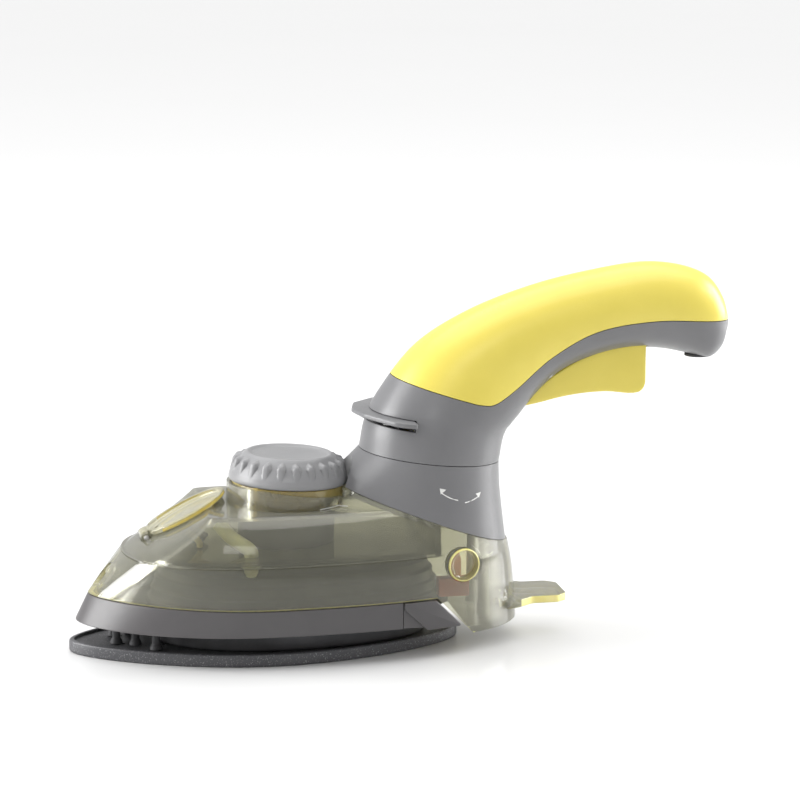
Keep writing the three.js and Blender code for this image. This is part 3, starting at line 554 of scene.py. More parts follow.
outlines = {
    "sole": {"nose": soleLow.x, "noseBlunt": 12, "noseReach": 36, "wide": -64, "half": soleHigh.y,
        "rearReach": 34, "rearBlunt": 15, "rear": soleHigh.x},
    "foot": {"nose": skirtLow.x, "noseBlunt": 16, "noseReach": 40, "wide": -66,
        "half": skirtHigh.y - 1, "rearReach": 30, "rearBlunt": 38, "rear": 35},
    "rim": {"nose": shellLow.x, "noseBlunt": 12, "noseReach": 36, "wide": -66, "half": shellHigh.y,
        "rearReach": 30, "rearBlunt": 38, "rear": 34},
    "shoulder": {"nose": tankLow.x + 0.1, "noseBlunt": 28, "noseReach": 34, "wide": -66,
        "half": tankHigh.y, "rearReach": 30, "rearBlunt": 36, "rear": 31.5},
    "chamber": {"nose": chamberLow.x, "noseBlunt": 14, "noseReach": 26, "wide": -62,
        "half": chamberHigh.y, "rearReach": 30, "rearBlunt": 20, "rear": chamberHigh.x},
}


def between(a, b, t):
    return {key: outlines[a][key] * (1 - t) + outlines[b][key] * t for key in outlines[a]}


soleShape = {"rimWidth": 2.0, "recess": 1.2, "holeRadius": 1.3, "holes": 5, "holePitch": 15, "firstHole": 20}


def upright(node):
    # radius, foot and top heights and place of an upright round post
    low, high = span(node)
    centre = (low + high) / 2
    return (high.y - low.y) / 2, low.z, high.z, at(centre.x, centre.y)


def makeSole():
    o, top = outlines["sole"], soleHigh.z
    floor = top - soleShape["recess"]
    inner = soleShape["rimWidth"]
    edge = soften([(inner + 1.5, 0), (0, 0), (0, top), (inner, top), (inner, floor), (inner + 1.5, floor)],
                  1.0, closed=False)
    sole = loft("solePlate", [hullRing(o, p.y, p.x) for p in edge])
    holes = []
    for i in range(soleShape["holes"]):
        x = soleLow.x + soleShape["firstHole"] + i * soleShape["holePitch"]
        for side in (-1, 1):
            r = soleShape["holeRadius"]
            lips = [(0, -1), (r + 0.8, -1), (r, 0.4), (r, floor - 0.2), (0, floor + 0.4)]
            holes.append(turned("hole", lips, at(x, side * (6 + 4 * i)), 20))
    settle(cut(sole, *holes), "base", "sole_coating", finish["soleCoating"], "soleplate")
    chamber = outlines["chamber"]
    bottom, top = chamberLow.z, chamberHigh.z
    side = soften([(4, bottom), (0, bottom), (0, top), (4, top)], 1.2, closed=False)
    casting = loft("heaterCasting", [hullRing(chamber, p.y, p.x) for p in side])
    settle(casting, "base", "cast_metal", finish["castMetal"], "steam_chamber", "heating_element")
    for place in ("front", "middle", "back"):
        for hand in ("left", "right"):
            r, low, high, foot = upright(f"stud_{place}_{hand}")
            post = [(0, low), (r + 0.6, low), (r + 0.2, low + 1.4), (r - 0.3, low + 2.2),
                    (r - 0.3, high - 3), (r, high - 2.4), (r, high), (0, high)]
            piece = turned(f"stud{place.title()}{hand.title()}", soften(post, 0.3, closed=False), foot, 32)
            settle(piece, "base", "cast_metal", finish["castMetal"], f"stud_{place}_{hand}")


skirtShape = {"wall": 2.0, "bandEnd": -16, "cornerProud": 0.8, "cornerWall": 3.0, "round": 0.35}
cornerLine = [(-15.5, 22.4), (-2.8, 22.4), (7.6, 12), (7, 11.3), (-6.3, 11.3), (-15.5, 20)]
cornerTab = {"line": [(-15.7, 22), (-6, 22), (-1, 12.6), (-6.3, 12.2), (-15.7, 12.8)],
             "depth": 1.2, "thickness": 1.5}


def makeSkirt():
    low, high, wall = skirtLow.z, skirtHigh.z, skirtShape["wall"]
    edge = soften([(0, low), (0, high), (wall, high), (wall, low)], 0.45)
    rings = []
    for p in edge:
        t = (p.y - low) / (high - low)
        rings.append(hullRing(between("foot", "rim", t), p.y, p.x))
    band = loft("skirtBand", rings, loop=True)
    # the band takes the darkened grey, painted shade
    settle(cut(band, block(skirtShape["bandEnd"], 80, -60, 60, 0, 60)), "base", "grey_plastic",
           finish["paintedShadeGrey"], "skirt")
    for hand, side in (("left", -1), ("right", 1)):
        outline = soften(cornerLine, 0.35)
        name = "cornerPlate" + hand.title()
        plate = pressed(name, outline, skirtShape["cornerWall"], sideways, skirtShape["round"])
        tab = cornerTab
        join(plate, pressed("tab", tab["line"], tab["thickness"], at(0, tab["depth"]) @ sideways))
        for v in plate.data.vertices:  # bend the flat plate round the hull
            x, depth = v.co.x / mm, v.co.y / mm
            v.co.y = side * (halfAt(outlines["rim"], x) + skirtShape["cornerProud"] - depth) * mm
        if side > 0:
            plate.data.flip_normals()
        # the corner plates take the same painted shade
        settle(plate, "base", "grey_plastic", finish["paintedShadeGrey"], "skirt_corner_" + hand)


# clear casing

turretFoot = {"front": -62, "rear": 31, "half": 32, "height": 36}
turretWaist = {"front": -42, "rear": 28.3, "half": 28.8, "height": 60}
turretLine = {"x": -37, "height": 63.8, "fall": 0.373}
seamRadius = 27.2
shellShape = {"wall": 2.0, "shoulder": 38.7, "rimHeight": 23.0, "heel": 7.5, "collar": 23.6, "bulge": 0.35,
              "ring": 21.8, "sleeve": 18.5, "mouth": (13, -2),
              "ear": [(-2.2, -3), (2.2, -3), (1.8, 1.7), (-1.8, 1.7)]}
# rise above the shoulder, where the nose is, and half width
domeRings = [(0, -117.5, 40.4), (2.2, -114, 39.5), (8.4, -102.8, 36.8), (14, -91.4, 32.5), (17.3, -84.8, 29)]
gap = 0.3
egg = 80


def eggRing(o, by=0.0):
    ring = []
    centre = swivel.translation.x
    for k in range(egg):
        angle = 2 * math.pi * k / egg
        reach = centre - o["front"] if math.cos(angle) < 0 else o["rear"] - centre
        x = centre + (reach - by) * math.cos(angle)
        ring.append(Vector((x, (o["half"] - by) * math.sin(angle), o["height"])))
    return ring


def seamRing(radius, height):
    turns = [2 * math.pi * k / egg for k in range(egg)]
    return [swivel @ Vector((radius * math.cos(a), radius * math.sin(a), height)) for a in turns]


def turretSkin(by=0.0):
    # the sides draw in smoothly from the foot to the seam
    rows = [eggRing(turretFoot, by), eggRing(turretWaist, by), seamRing(seamRadius - by, -gap / 2)]
    steps = 10
    rings = []
    for k in range(steps + 1):
        t = k / steps
        rings.append([curvePoint([a, b, c], t) for a, b, c in zip(*rows)])
    return loft("turretSkin", rings)


def domeSkin(by=0.0):
    rings = []
    steps = 20
    shoulder = outlines["shoulder"]
    for k in range(steps + 1):
        rise, nose, half = curvePoint([Vector(r) for r in domeRings], k / steps)
        o = dict(shoulder, nose=nose, half=half, rearBlunt=shoulder["rearBlunt"] * half / shoulder["half"])
        last = by if k == steps else 0
        rings.append(hullRing(o, shellShape["shoulder"] + rise - last, by))
    return loft("domeSkin", rings)


def lowerSkin(by=0.0):
    s = shellShape
    heel = dict(outlines["rim"], rear=outlines["rim"]["rear"] + 1)
    rings = [hullRing(heel, s["heel"] + by, by + 0.5), hullRing(heel, s["heel"] + by + 0.5, by)]
    steps = 8
    for k in range(steps + 1):
        t = k / steps
        o = between("rim", "shoulder", t)
        swell = s["bulge"] * 4 * t * (1 - t)
        rings.append(hullRing(o, s["rimHeight"] + (s["shoulder"] - s["rimHeight"]) * t, by - swell))
    rings.append(hullRing(outlines["shoulder"], s["shoulder"] + 0.4, by + 0.15))
    return loft("lowerSkin", rings)


def lineAt(x, drop=0.0):
    return turretLine["height"] - drop - turretLine["fall"] * (x - turretLine["x"])


def aboveLine(drop=0.0):
    low = [(x, lineAt(x, drop)) for x in (-220, 120)]
    return slab("above", [*low, (120, 260), (-220, 260)], 90)


def dialBar(radius, low, high):
    return rod(radius, low, high, dial, 96)


collarTop = [(-90, 66.9), (-20, 57.5), (-20, 90), (-90, 90)]
flapShape = {"length": 34.6, "half": 13, "thickness": 1.8, "slope": 27,
             "plugPlace": 23.1, "plugRadius": 7.2, "plugDepth": 7}


def onFlapFrame():
    # X runs up the flap from its pin, Z out of its face
    m = Matrix.Rotation(math.radians(-flapShape["slope"]), 4, "Y")
    m.translation = flapPin.translation
    return m


flapFrame = onFlapFrame()
fillerPlace = flapFrame @ at(flapShape["plugPlace"])


def casingOutside():
    collar = dialBar(shellShape["collar"], -26, -1)
    filler = rod(flapShape["plugRadius"] + 2.4, -9, -gap, fillerPlace)
    body = join(lowerSkin(), domeSkin(), turretSkin(), collar, filler)
    slope = trim(dialBar(shellShape["collar"] + 2, -20, 60), slab("slope", collarTop, 30))
    return cut(body, aboveLine(), dialBar(shellShape["collar"], -1, 60), slope)


def casingInside():
    wall = shellShape["wall"]
    return join(lowerSkin(wall), domeSkin(wall), turretSkin(wall))


def paintEdgeGlint(piece, rule, skin):
    # faces picked by a rule of centre and normal take a second material, a painted edge glint
    piece.data.materials.append(skin)
    index = len(piece.data.materials) - 1
    for face in piece.data.polygons:
        if rule(face.center / mm, face.normal):
            face.material_index = index


tankEnd = -gap
tankBottom = shellShape["shoulder"] + 0.2
tongue = {"bottom": 13.5, "thickness": 3, "end": 54, "half": 12, "endHalf": 8.5, "root": 17}
lensShape = {"x": 8.6, "height": 34.5, "radius": 6.4, "yaw": 14}
nozzle = {"height": 29.8, "radius": 4}
nozzleX = span("spray_nozzle")[0].x + nozzle["radius"]
nozzlePlace = at(nozzleX, 0, nozzle["height"]) @ Matrix.Rotation(math.pi / 2, 4, "Y")
feed = {"x": -72, "y": -25.5, "hose": 2.7, "fitting": 4}


def lensFrame():
    m = Matrix.Rotation(math.radians(lensShape["yaw"]), 4, "Z") @ Matrix.Rotation(math.pi / 2, 4, "X")
    x = lensShape["x"]
    m.translation = Vector((x, -halfAt(outlines["shoulder"], x), lensShape["height"]))
    return m


def makeCasing():
    s = shellShape
    outside, inside = casingOutside(), casingInside()
    upper = trim(copyOf(outside), block(-200, tankEnd, -80, 80, tankBottom, 100))
    room = trim(cut(copyOf(inside), aboveLine(s["wall"] + 0.2)),
                block(-200, tankEnd - s["wall"], -80, 80, tankBottom - 1, 100))
    bore = dialBar(s["ring"] + gap, -20, 20)
    mouth = rod(flapShape["plugRadius"] + 1, -12, 5, fillerPlace)
    ear = soften(s["ear"], 1.0)
    ears = [pressed("ear", ear, 2, flapFrame @ at(0, side * 5 - 1) @ sideways, 0.25) for side in (-1, 1)]
    knuckleWay = rod(2.6, -4, 4, flapFrame @ layAcross)
    tank = join(cut(upper, room), *ears)
    cut(tank, bore, mouth, knuckleWay)
    tank.name = "tankCasing"
    settle(tank, "base", "clear_plastic", finish["clearShell"], "tank_shell", angle=28)

    behind, ahead = block(0, 100, -80, 80, 0, 100), block(-200, 0.01, -80, 80, 0, s["shoulder"] - 0.1)
    kept = trim(outside, join(behind, ahead))
    r = lensShape["radius"]
    boss = [(0, -2.2), (r + 1.8, -2.2), (r + 1.6, 1.2), (0, 1.2)]
    seat = turned("seat", soften(boss, 0.5, closed=False), lensFrame())
    hole = rod(r + gap, -9, 9, lensFrame())
    root, half, end = tongue["root"], tongue["half"], tongue["end"]
    sides = [(28, -root - 3), (34, -root), (40, -half), (end - 4, -half), (end, -tongue["endHalf"])]
    plan = soften([*sides, *[(x, -y) for x, y in reversed(sides)]], 1.2)
    tail = pressed("tail", plan, tongue["thickness"], at(0, 0, tongue["bottom"]), 0.3)
    heelX, rimX = s["mouth"]
    mouthLine = [(-200, 0), (heelX + 2, 0), (heelX, s["heel"]), (rimX, s["rimHeight"]),
                 (-200, s["rimHeight"])]
    jet = rod(nozzle["radius"] + gap, -12, 5, nozzlePlace)
    lower = cut(join(kept, seat, tail), inside, slab("mouth", mouthLine, 80), hole, jet)
    lower.name = "lowerCasing"
    lower.data.materials.append(finish["clearShell"])

    def cutEdge(c, n):
        # the moulding's cut rims: along the skirt, up the slanted heel, and round the tongue; these take a
        # painted edge glint
        onRim = n.z < -0.9 and abs(c.z - s["rimHeight"]) < 0.1
        slope = (s["rimHeight"] - s["heel"]) / (heelX - rimX)
        onSlant = abs((c.z - s["heel"]) + slope * (c.x - heelX)) < 0.4 and s["heel"] < c.z < s["rimHeight"]
        aboveTongue = c.z - tongue["bottom"]
        onTongue = c.x > 34.5 and abs(n.z) < 0.5 and 0 < aboveTongue < tongue["thickness"]
        return onRim or onSlant or onTongue and abs(c.y) < tongue["root"]

    paintEdgeGlint(lower, cutEdge, finish["paintedEdgeGlint"])
    settle(lower, "base", "clear_plastic", finish["clearShell"], "lower_shell", angle=28)


# what shows through the casing

shieldShape = {"inset": 7, "nose": -109, "rear": 5, "wall": 1.8,
               "steps": [(0, 18.3), (0, 20.5), (1.4, 21.3), (1.4, 24.4), (3, 25.2), (3, 28.6), (4.8, 29.5),
                         (5, 32.4), (6.6, 33.2), (6.6, 35.8), (7.6, 36.4)]}


def makeInside():
    base = outlines["rim"]
    low = dict(base, nose=shieldShape["nose"], noseBlunt=10, noseReach=32, rear=shieldShape["rear"],
               rearReach=34, rearBlunt=26, half=base["half"] - shieldShape["inset"])
    steps = soften(shieldShape["steps"], 0.5, closed=False, steps=3)
    wall = shieldShape["wall"]
    outer = [hullRing(low, p.y, p.x) for p in reversed(steps)]
    inner = [hullRing(low, p.y if p.y < 34 else p.y - wall, p.x + wall) for p in steps]
    shield = loft("heatShield", [*outer, *inner])
    cut(shield, rod(4, -60, 0, dial, 32))
    settle(shield, "base", "dark_plastic", finish["darkPlastic"], "heat_shield")
    floorLow, floorHigh = span("tank_floor")
    floorEdge = dict(outlines["shoulder"], nose=domeRings[0][1], half=domeRings[0][2])
    edge = [(3.8, floorLow.z), (3.6, floorLow.z + 0.2), (3.6, floorHigh.z - 0.3), (3.9, floorHigh.z)]
    floor = loft("tankFloor", [hullRing(floorEdge, z, by) for by, z in edge])
    hoseWay = rod(feed["hose"] + 0.6, 30, 45, at(feed["x"], feed["y"]), 32)
    behind = block(floorHigh.x, 80, -60, 60, 0, 90)
    cut(floor, hoseWay, behind, rod(4, -60, 0, dial, 32))
    settle(floor, "base", "clear_plastic", finish["clearShell"], "tank_floor")


def alongCurve(name, points, radius, steps=40, sides=24, flat=1.0):
    # tube or strap along a smooth line; flat squeezes it across its width
    line = smoothLine(points, steps)
    rings = []
    across = Vector((0, 1, 0))
    for i, p in enumerate(line):
        along = (line[min(i + 1, steps)] - line[max(i - 1, 0)]).normalized()
        across = (across - along * across.dot(along)).normalized()
        up = along.cross(across)
        rings.append([p + across * radius * math.cos(2 * math.pi * k / sides)
                      + up * radius * flat * math.sin(2 * math.pi * k / sides) for k in range(sides)])
    return loft(name, rings)


hoseShape = {"rise": [(0, 0, 0.1), (0, 0, 3), (-7, 5, 8), (-11, 8.5, 12.5)]}
inletShape = {"half": 1.65, "flat": 0.75,
              "route": [(0, 0, 0.1), (-0.2, 0, 1.8), (-2.4, 0, 4.3), (-4.9, 0, 6.3)]}
padShape = {"size": (10, 9, 2.3), "crumple": 0.9, "fold": 3.2}


def makeFeed():
    top = Vector((feed["x"], feed["y"], tankBottom))
    hose = alongCurve("feedHose", [top + Vector(p) for p in hoseShape["rise"]], feed["hose"])
    settle(hose, "base", "cream_rubber", finish["creamRubber"], "feed_hose", angle=50)
    low, high = span("inlet_tube")
    foot = Vector((high.x - inletShape["half"] - 0.1, (low.y + high.y) / 2, low.z))
    strap = alongCurve("inletStrap", [foot + Vector(p) for p in inletShape["route"]], inletShape["half"],
                       flat=inletShape["flat"])
    settle(strap, "base", "amber_plastic", finish["inletGel"], "inlet_tube", angle=50)
    low, high = span("hose_fitting")
    r = feed["fitting"]
    sleeve = [(0, low.z), (r - 0.3, low.z), (r - 0.3, low.z + 3), (r, low.z + 3.4), (r, high.z - 1.4),
              (r - 0.7, high.z), (0, high.z)]
    fitting = turned("hoseSocket", soften(sleeve, 0.4, closed=False), at(top.x, top.y))
    settle(fitting, "base", "cream_rubber", finish["creamRubber"], "hose_fitting")
    low, high = span("filter_pad")
    centre = (low + high) / 2
    work = bmesh.new()
    bmesh.ops.create_icosphere(work, subdivisions=5, radius=1)
    for v in work.verts:
        p = v.co * Vector(padShape["size"])
        fold = noise.noise(p / padShape["fold"] + Vector((3, 5, 7)))
        crease = abs(noise.noise(p / (padShape["fold"] * 0.45))) - 0.2
        v.co = centre + p + v.normal * padShape["crumple"] * (fold + crease * 0.8)
    bmesh.ops.transform(work, matrix=Matrix.Scale(mm, 4), verts=work.verts[:])
    mesh = bpy.data.meshes.new("filterMesh")
    work.to_mesh(mesh)
    work.free()
    settle(linked("filterMesh", mesh), "base", "dark_plastic", finish["foil"], "filter_pad", angle=60)
    ball = [(0.8, -nozzle["radius"] + 0.1), (1.8, -nozzle["radius"] + 0.3)]
    for k in range(1, 12):
        angle = math.pi * (0.16 + 0.64 * k / 11)
        ball.append((nozzle["radius"] * math.sin(angle), -nozzle["radius"] * math.cos(angle)))
    ball += [(2, 3.4), (2, 8.3), (1.6, 8.5), (0.8, 8.5)]
    jet = turned("sprayNozzle", ball, nozzlePlace)
    settle(jet, "base", "white_plastic", finish["lensClear"], "spray_nozzle")


def makeFlap():
    f = flapShape
    middle = f["length"] / 2
    oval = [(middle + middle * math.cos(2 * math.pi * k / 96), f["half"] * math.sin(2 * math.pi * k / 96))
            for k in range(96)]
    plate = pressed("flapPlate", oval, f["thickness"], flapFrame, 0.5)
    dish = pressed("dish", [(middle + (x - middle) * 0.86, y * 0.84) for x, y in oval], 2,
                   flapFrame @ at(0, 0, f["thickness"] - 0.6), 0.25)
    across = flapFrame @ layAcross
    knuckle = bar("knuckle", 2.1, -3.7, 3.7, across)
    arm = block(0, 6, -3.7, 3.7, 0.2, f["thickness"] - 0.1, flapFrame)
    hole = bar("hole", 1.3, -9, 9, across)
    earWays = [block(-4, 3, y - 1.6, y + 1.6, -3, 4, flapFrame) for y in (-5.3, 5.3)]
    cut(join(cut(plate, dish), arm, knuckle), hole, *earWays)
    plate.name = "fillerFlap"
    plate.data.materials.append(finish["clearFlap"])
    out = flapFrame.col[2].to_3d()

    def rimWall(c, n):
        local = flapFrame.inverted() @ c
        return abs(n.dot(out)) < 0.5 and 0.3 < local.z < f["thickness"] - 0.5 and local.x > 7

    # the flap's rim wall takes the yellow gel finish as a painted edge glow
    paintEdgeGlint(plate, rimWall, finish["yellowGel"])
    settle(plate, "flap", "clear_plastic", finish["clearFlap"], "filler_flap", angle=40)
    pin = bar("flapPin", 1.0, -6.2, 6.2, across)
    settle(pin, "base", "steel", finish["steel"], "flap_pin")
    r = f["plugRadius"]
    foot = -f["plugDepth"]
    stopper = soften([(0, -gap), (r, -gap), (r, -2.2), (r - 0.5, -2.6), (r - 0.4, -3.6), (r - 0.8, foot),
                      (r - 2.2, foot), (r - 2.6, -3.4), (0, -3)], 0.4, closed=False)
    plug = turned("fillerStopper", stopper, fillerPlace)
    settle(plug, "flap", "amber_plastic", finish["yellowGel"], "filler_plug")


# dial

knobShape = {"ribs": 22, "stepsPerRib": 24, "rowGap": 0.3, "ribFoot": 1.9, "ribMiddle": 7.3, "ribTop": 9.3,
             "ribHalf": 1.85, "ribReach": 22.75, "ribDraft": 0.2, "shaftFoot": -33.0, "shaftTop": 4.6}
# radius and height, up the side and then over the dished top
knobSide = [(22.55, 0.0), (22.9, 0.5), (22.9, 1.6), (22.5, 3.2), (21.9, 4.6), (21.1, 6.0), (20.1, 7.3),
            (19.1, 8.4), (18.2, 9.3), (17.6, 9.9), (17.0, 10.4), (16.4, 10.75)]
knobDish = [(15.8, 10.85), (15.2, 10.6), (14.7, 10.2), (14.2, 10.0), (12, 9.7), (8, 9.35), (4, 9.2),
            (0, 9.15)]


def knobSurface(height, off):
    # radius of the knob's side, off mm round from the middle of a rib: the smooth body, or the rib on it
    k = knobShape
    body = next(a[0] + (b[0] - a[0]) * (height - a[1]) / (b[1] - a[1])
                for a, b in zip(knobSide, knobSide[1:]) if height <= b[1] + 1e-6)
    if not k["ribFoot"] < height < k["ribTop"]:
        return body
    if height < k["ribMiddle"]:
        fullness = ((height - k["ribFoot"]) / (k["ribMiddle"] - k["ribFoot"])) ** 0.8
        crown = 1.0
    else:
        crown = math.sqrt(1 - ((height - k["ribMiddle"]) / (k["ribTop"] - k["ribMiddle"])) ** 2)
        fullness = crown
    half = max(k["ribHalf"] * fullness, 0.01)
    if off >= half:
        return body
    rib = k["ribReach"] - k["ribDraft"] * (height - k["ribFoot"])
    return body + max(rib - body, 0) * crown ** 0.5 * (1 - (off / half) ** 3) ** 0.5


def makeKnob():
    k = knobShape
    around = k["ribs"] * k["stepsPerRib"]
    top = knobSide[-1][1]
    count = round((top - 1.6) / k["rowGap"])
    heights = [0.0, 0.25, 0.5, 1.1, *[1.6 + (top - 1.6) * i / count for i in range(count + 1)]]
    step = 2 * math.pi / around
    offs = [abs((j % k["stepsPerRib"]) - k["stepsPerRib"] / 2) * step * 21 for j in range(around)]

    def ring(height, reaches):
        return [dial @ Vector((r * math.cos(step * j), r * math.sin(step * j), height))
                for j, r in enumerate(reaches)]

    rings = [ring(height, [knobSurface(height, off) for off in offs]) for height in heights]
    rings += [ring(height, [r] * around) for r, height in knobDish[:-1]]
    knob = loft("dialKnob", rings, tip=dial @ Vector((0, 0, knobDish[-1][1])))
    under = [(0, -1), (20.2, -1), (20.2, 4.2), (18, 6.6), (6, 6.6), (6, 0.2), (0, 0.2)]
    cut(knob, turned("under", soften(under, 0.3, closed=False), dial, 96))
    settle(knob, "knob", "grey_plastic", finish["knobPlastic"], "knob", angle=40)
    shaft = bar("dialShaft", 3.0, k["shaftFoot"], k["shaftTop"], dial)
    settle(shaft, "knob", "white_plastic", finish["whitePlastic"], "thermostat_shaft")


ringShape = {"low": -9, "high": -0.4, "round": 0.4}


def makeDialSeat():
    s = shellShape
    inner, outer = s["sleeve"] + gap, s["ring"]
    low, high = ringShape["low"], ringShape["high"]
    profile = [(inner, low), (outer, low), (outer, high), (inner, high)]
    ring = turned("amberRing", soften(profile, ringShape["round"]), dial, 96)
    settle(ring, "base", "amber_plastic", finish["amber"], "amber_ring")
    r = s["sleeve"]
    sleeve = [(3.6, -5), (r, -5), (r, -14), (r, -30), (r - 2, -30), (r - 2, -7), (3.6, -7)]
    tube = turned("dialSleeve", soften(sleeve, 0.6), dial, 96)
    floorHigh = span("tank_floor")[1].z
    cut(tube, block(-120, 0, -60, 60, -20, floorHigh + gap))
    settle(tube, "base", "dark_plastic", finish["paintedShadeGrey"], "thermostat_sleeve")


# turret and grip

turretShape = {"plate": 3, "spindle": 9, "clearance": 0.6}


def makeTurret():
    wall = shellShape["wall"]
    reach = shellShape["collar"] + turretShape["clearance"]
    outside = cut(turretSkin(), dialBar(reach, -40, 40))
    inside = cut(turretSkin(wall), dialBar(reach + wall, -40, 40),
                 block(-60, 60, -60, 60, -gap / 2 - turretShape["plate"], 20, swivel))
    trim(cut(outside, inside, rod(turretShape["spindle"] + gap, -20, 20, swivel)), aboveLine(-gap))
    outside.name = "turretBody"
    settle(outside, "base", "grey_plastic", finish["greyPlastic"], "turret", angle=28)


# outer x and z, inner x and z, half width
gripSections = [
    (-23.6, 87, 30.6, 80.6, 25.8), (-16.8, 99.2, 36.5, 88, 23.2), (-4, 114.8, 43.5, 96, 20.6),
    (15.5, 126.8, 53, 103.8, 18.8), (40.3, 136.1, 66, 109, 17.6), (65, 141.8, 79, 111.4, 17.2),
    (87.6, 144.6, 91.5, 111, 16.8), (103, 142.4, 103, 108.6, 16), (111.5, 138.3, 110.8, 106.5, 14),
    (116.4, 131.5, 115.6, 109.8, 10.5), (118.4, 125.5, 118, 116, 6),
]
gripShape = {"wall": 2.2, "neckFloor": 3.2, "split": 0.15, "rings": 72, "around": 72, "full": 2.15}
splitPoints = [(16, 94.5), (22, 94), (31, 98.8), (46, 110.9), (63, 120), (86, 123.6), (112, 122.6)]


def gripSkin(by=0.0, first=0.0, last=1.0):
    foot = [swivel @ Vector((side * seamRadius, 0, gap / 2)) for side in (-1, 1)]
    outer = [foot[0], *[Vector((x, 0, z)) for x, z, *_ in gripSections]]
    inner = [foot[1], *[Vector((x, 0, z)) for _, _, x, z, _ in gripSections]]
    halves = [Vector((seamRadius, 0)), *[Vector((row[4], 0)) for row in gripSections]]
    rings = []
    for i in range(gripShape["rings"] + 1):
        t = first + (last - first) * i / gripShape["rings"]
        a, b = curvePoint(outer, t), curvePoint(inner, t)
        place = t * (len(halves) - 1)
        k = min(int(place), len(halves) - 2)
        w = place - k
        p = [halves[max(min(k + d, len(halves) - 1), 0)].x for d in (-1, 0, 1, 2)]
        half = p[1] + 0.5 * w * (p[2] - p[0] + w * (2 * p[0] - 5 * p[1] + 4 * p[2] - p[3]
                                                   + w * (3 * (p[1] - p[2]) + p[3] - p[0])))
        middle, across = (a + b) / 2, (b - a) / 2
        across = across.normalized() * max(across.length - by, 1)
        half = max(half - by, 1)
        power = 2 / gripShape["full"] if t > 0.12 else 1.0
        ring = []
        for j in range(gripShape["around"]):
            angle = 2 * math.pi * j / gripShape["around"]
            c, s = math.cos(angle), math.sin(angle)
            c, s = math.copysign(abs(c) ** power, c), math.copysign(abs(s) ** power, s)
            ring.append(middle + across * c + Vector((0, half * s, 0)))
        rings.append(ring)
    return loft("gripSkin", rings)


def aboveSplit(shift):
    line = smoothLine([(x, z + shift, 0) for x, z in splitPoints], 60)
    low = [(-40, 111.5 + shift), *[(p.x, p.y) for p in line], (140, 121.5 + shift)]
    return slab("split", [*low, (140, 200), (-40, 200)], 60)


gripSlot = {"clearance": 0.7, "half": 8.1, "lug": [(40.8, 96), (49.7, 98), (49.3, 106.7), (42.9, 106.7)]}
triggerUnder = [(44, 91.9), (52, 93.7), (61, 94.9), (70, 95.2), (80, 94.2), (83.4, 94.9)]
triggerOver = [(44, 99.5), (52, 105), (62, 110.2), (74, 114.4)]
triggerOutline = [(36.5, 92.6), (36.3, 90.4), *triggerUnder, (85, 97.5), (85.2, 115.4),
                  *reversed(triggerOver)]
triggerShape = {"half": 7.5, "corner": 1.4, "pinRadius": 1.5, "swing": 5,
                "under": [(36.3, 90.4), *triggerUnder, (85.2, 97.5)],
                "over": [(36.3, 92.6), *triggerOver, (85.2, 115.4)],
                "lug": [(41.5, 97), (49, 99.5), (48.6, 106), (43.6, 106)],
                "springX": 63.5, "springRadius": 3.2}
leverShape = {"bottom": 13.5, "thickness": 1.8, "radius": 32.5, "half": 28.6, "back": -11, "travel": 2,
              "front": -32, "chamfer": [(-29.4, 12), (-19.6, 26.6), (-16, 28.3)],
              "pin": -16, "pinRadius": 1.9, "pinHole": 2.4}
glandShape = {"x": 108, "radius": 4.6, "bore": 3.1, "flange": 5.4}


def triggerWay(by):
    # the trigger's side outline, grown by a clearance
    pts = [Vector(p) for p in triggerOutline]
    centre = sum(pts, Vector((0, 0))) / len(pts)
    out = []
    for i, p in enumerate(pts):
        a, b = pts[i - 1], pts[(i + 1) % len(pts)]
        n = Vector(((b - a).y, -(b - a).x)).normalized()
        if n.dot(p - centre) < 0:
            n = -n
        out.append(p + n * by)
    return out


def leverPlan(by, back):
    reach, side = leverShape["radius"] + by, leverShape["half"] + by
    start = math.asin(side / reach)
    turns = [start - 2 * start * i / 24 for i in range(25)]
    arc = [(-reach * math.cos(a), reach * math.sin(a)) for a in turns]
    return [(back, side), *arc, (back, -side)]


def makeGrip():
    wall, neckFloor = gripShape["wall"], gripShape["neckFloor"]
    shell = gripSkin()
    hollow = cut(gripSkin(wall, 0.02, 0.955), block(-40, 40, -40, 40, -5, neckFloor, swivel))
    cut(shell, hollow)
    upper = trim(copyOf(shell), aboveSplit(gripShape["split"]))
    upper.name = "gripUpper"
    settle(upper, "handle", "yellow_plastic", finish["yellowPlastic"], "grip_upper", angle=40)
    pin = Matrix.Translation(hinge.translation)
    slot = slab("lugWay", gripSlot["lug"], gripSlot["half"])
    for share in (0, 0.5, 1):  # the slot clears the whole squeeze
        swing = Matrix.Rotation(math.radians(-share * triggerShape["swing"]), 4, "Y")
        way = slab("slot", triggerWay(gripSlot["clearance"]), gripSlot["half"])
        way.data.transform(Matrix.Scale(mm, 4) @ pin @ swing @ pin.inverted() @ Matrix.Scale(1 / mm, 4))
        slot = join(slot, way)
    v = leverShape
    leverWay = pressed("leverWay", leverPlan(8, v["back"] + 0.5), v["thickness"] + v["travel"] + 2 * gap,
                       swivel @ at(0, 0, v["bottom"] - v["travel"] - gap))
    spindleWay = rod(turretShape["spindle"] + gap, -5, neckFloor + 0.5, swivel)
    lockWay = rod(v["pinHole"], -5, neckFloor + 0.5, swivel @ at(v["pin"]), 32)
    g, sill = glandShape, span("cord_gland")[0].z + 1 + gap
    wide, narrow = g["flange"] + gap, g["radius"] + gap
    cordWay = turned("way", [(0, 90), (wide, 90), (wide, sill), (narrow, sill), (narrow, 116), (0, 116)],
                     at(g["x"]), 48)
    lower = cut(shell, aboveSplit(-gripShape["split"]), slot, leverWay, spindleWay, lockWay,
                cordWay)
    lower.name = "gripLower"
    settle(lower, "handle", "grey_plastic", finish["greyPlastic"], "grip_lower", angle=40)


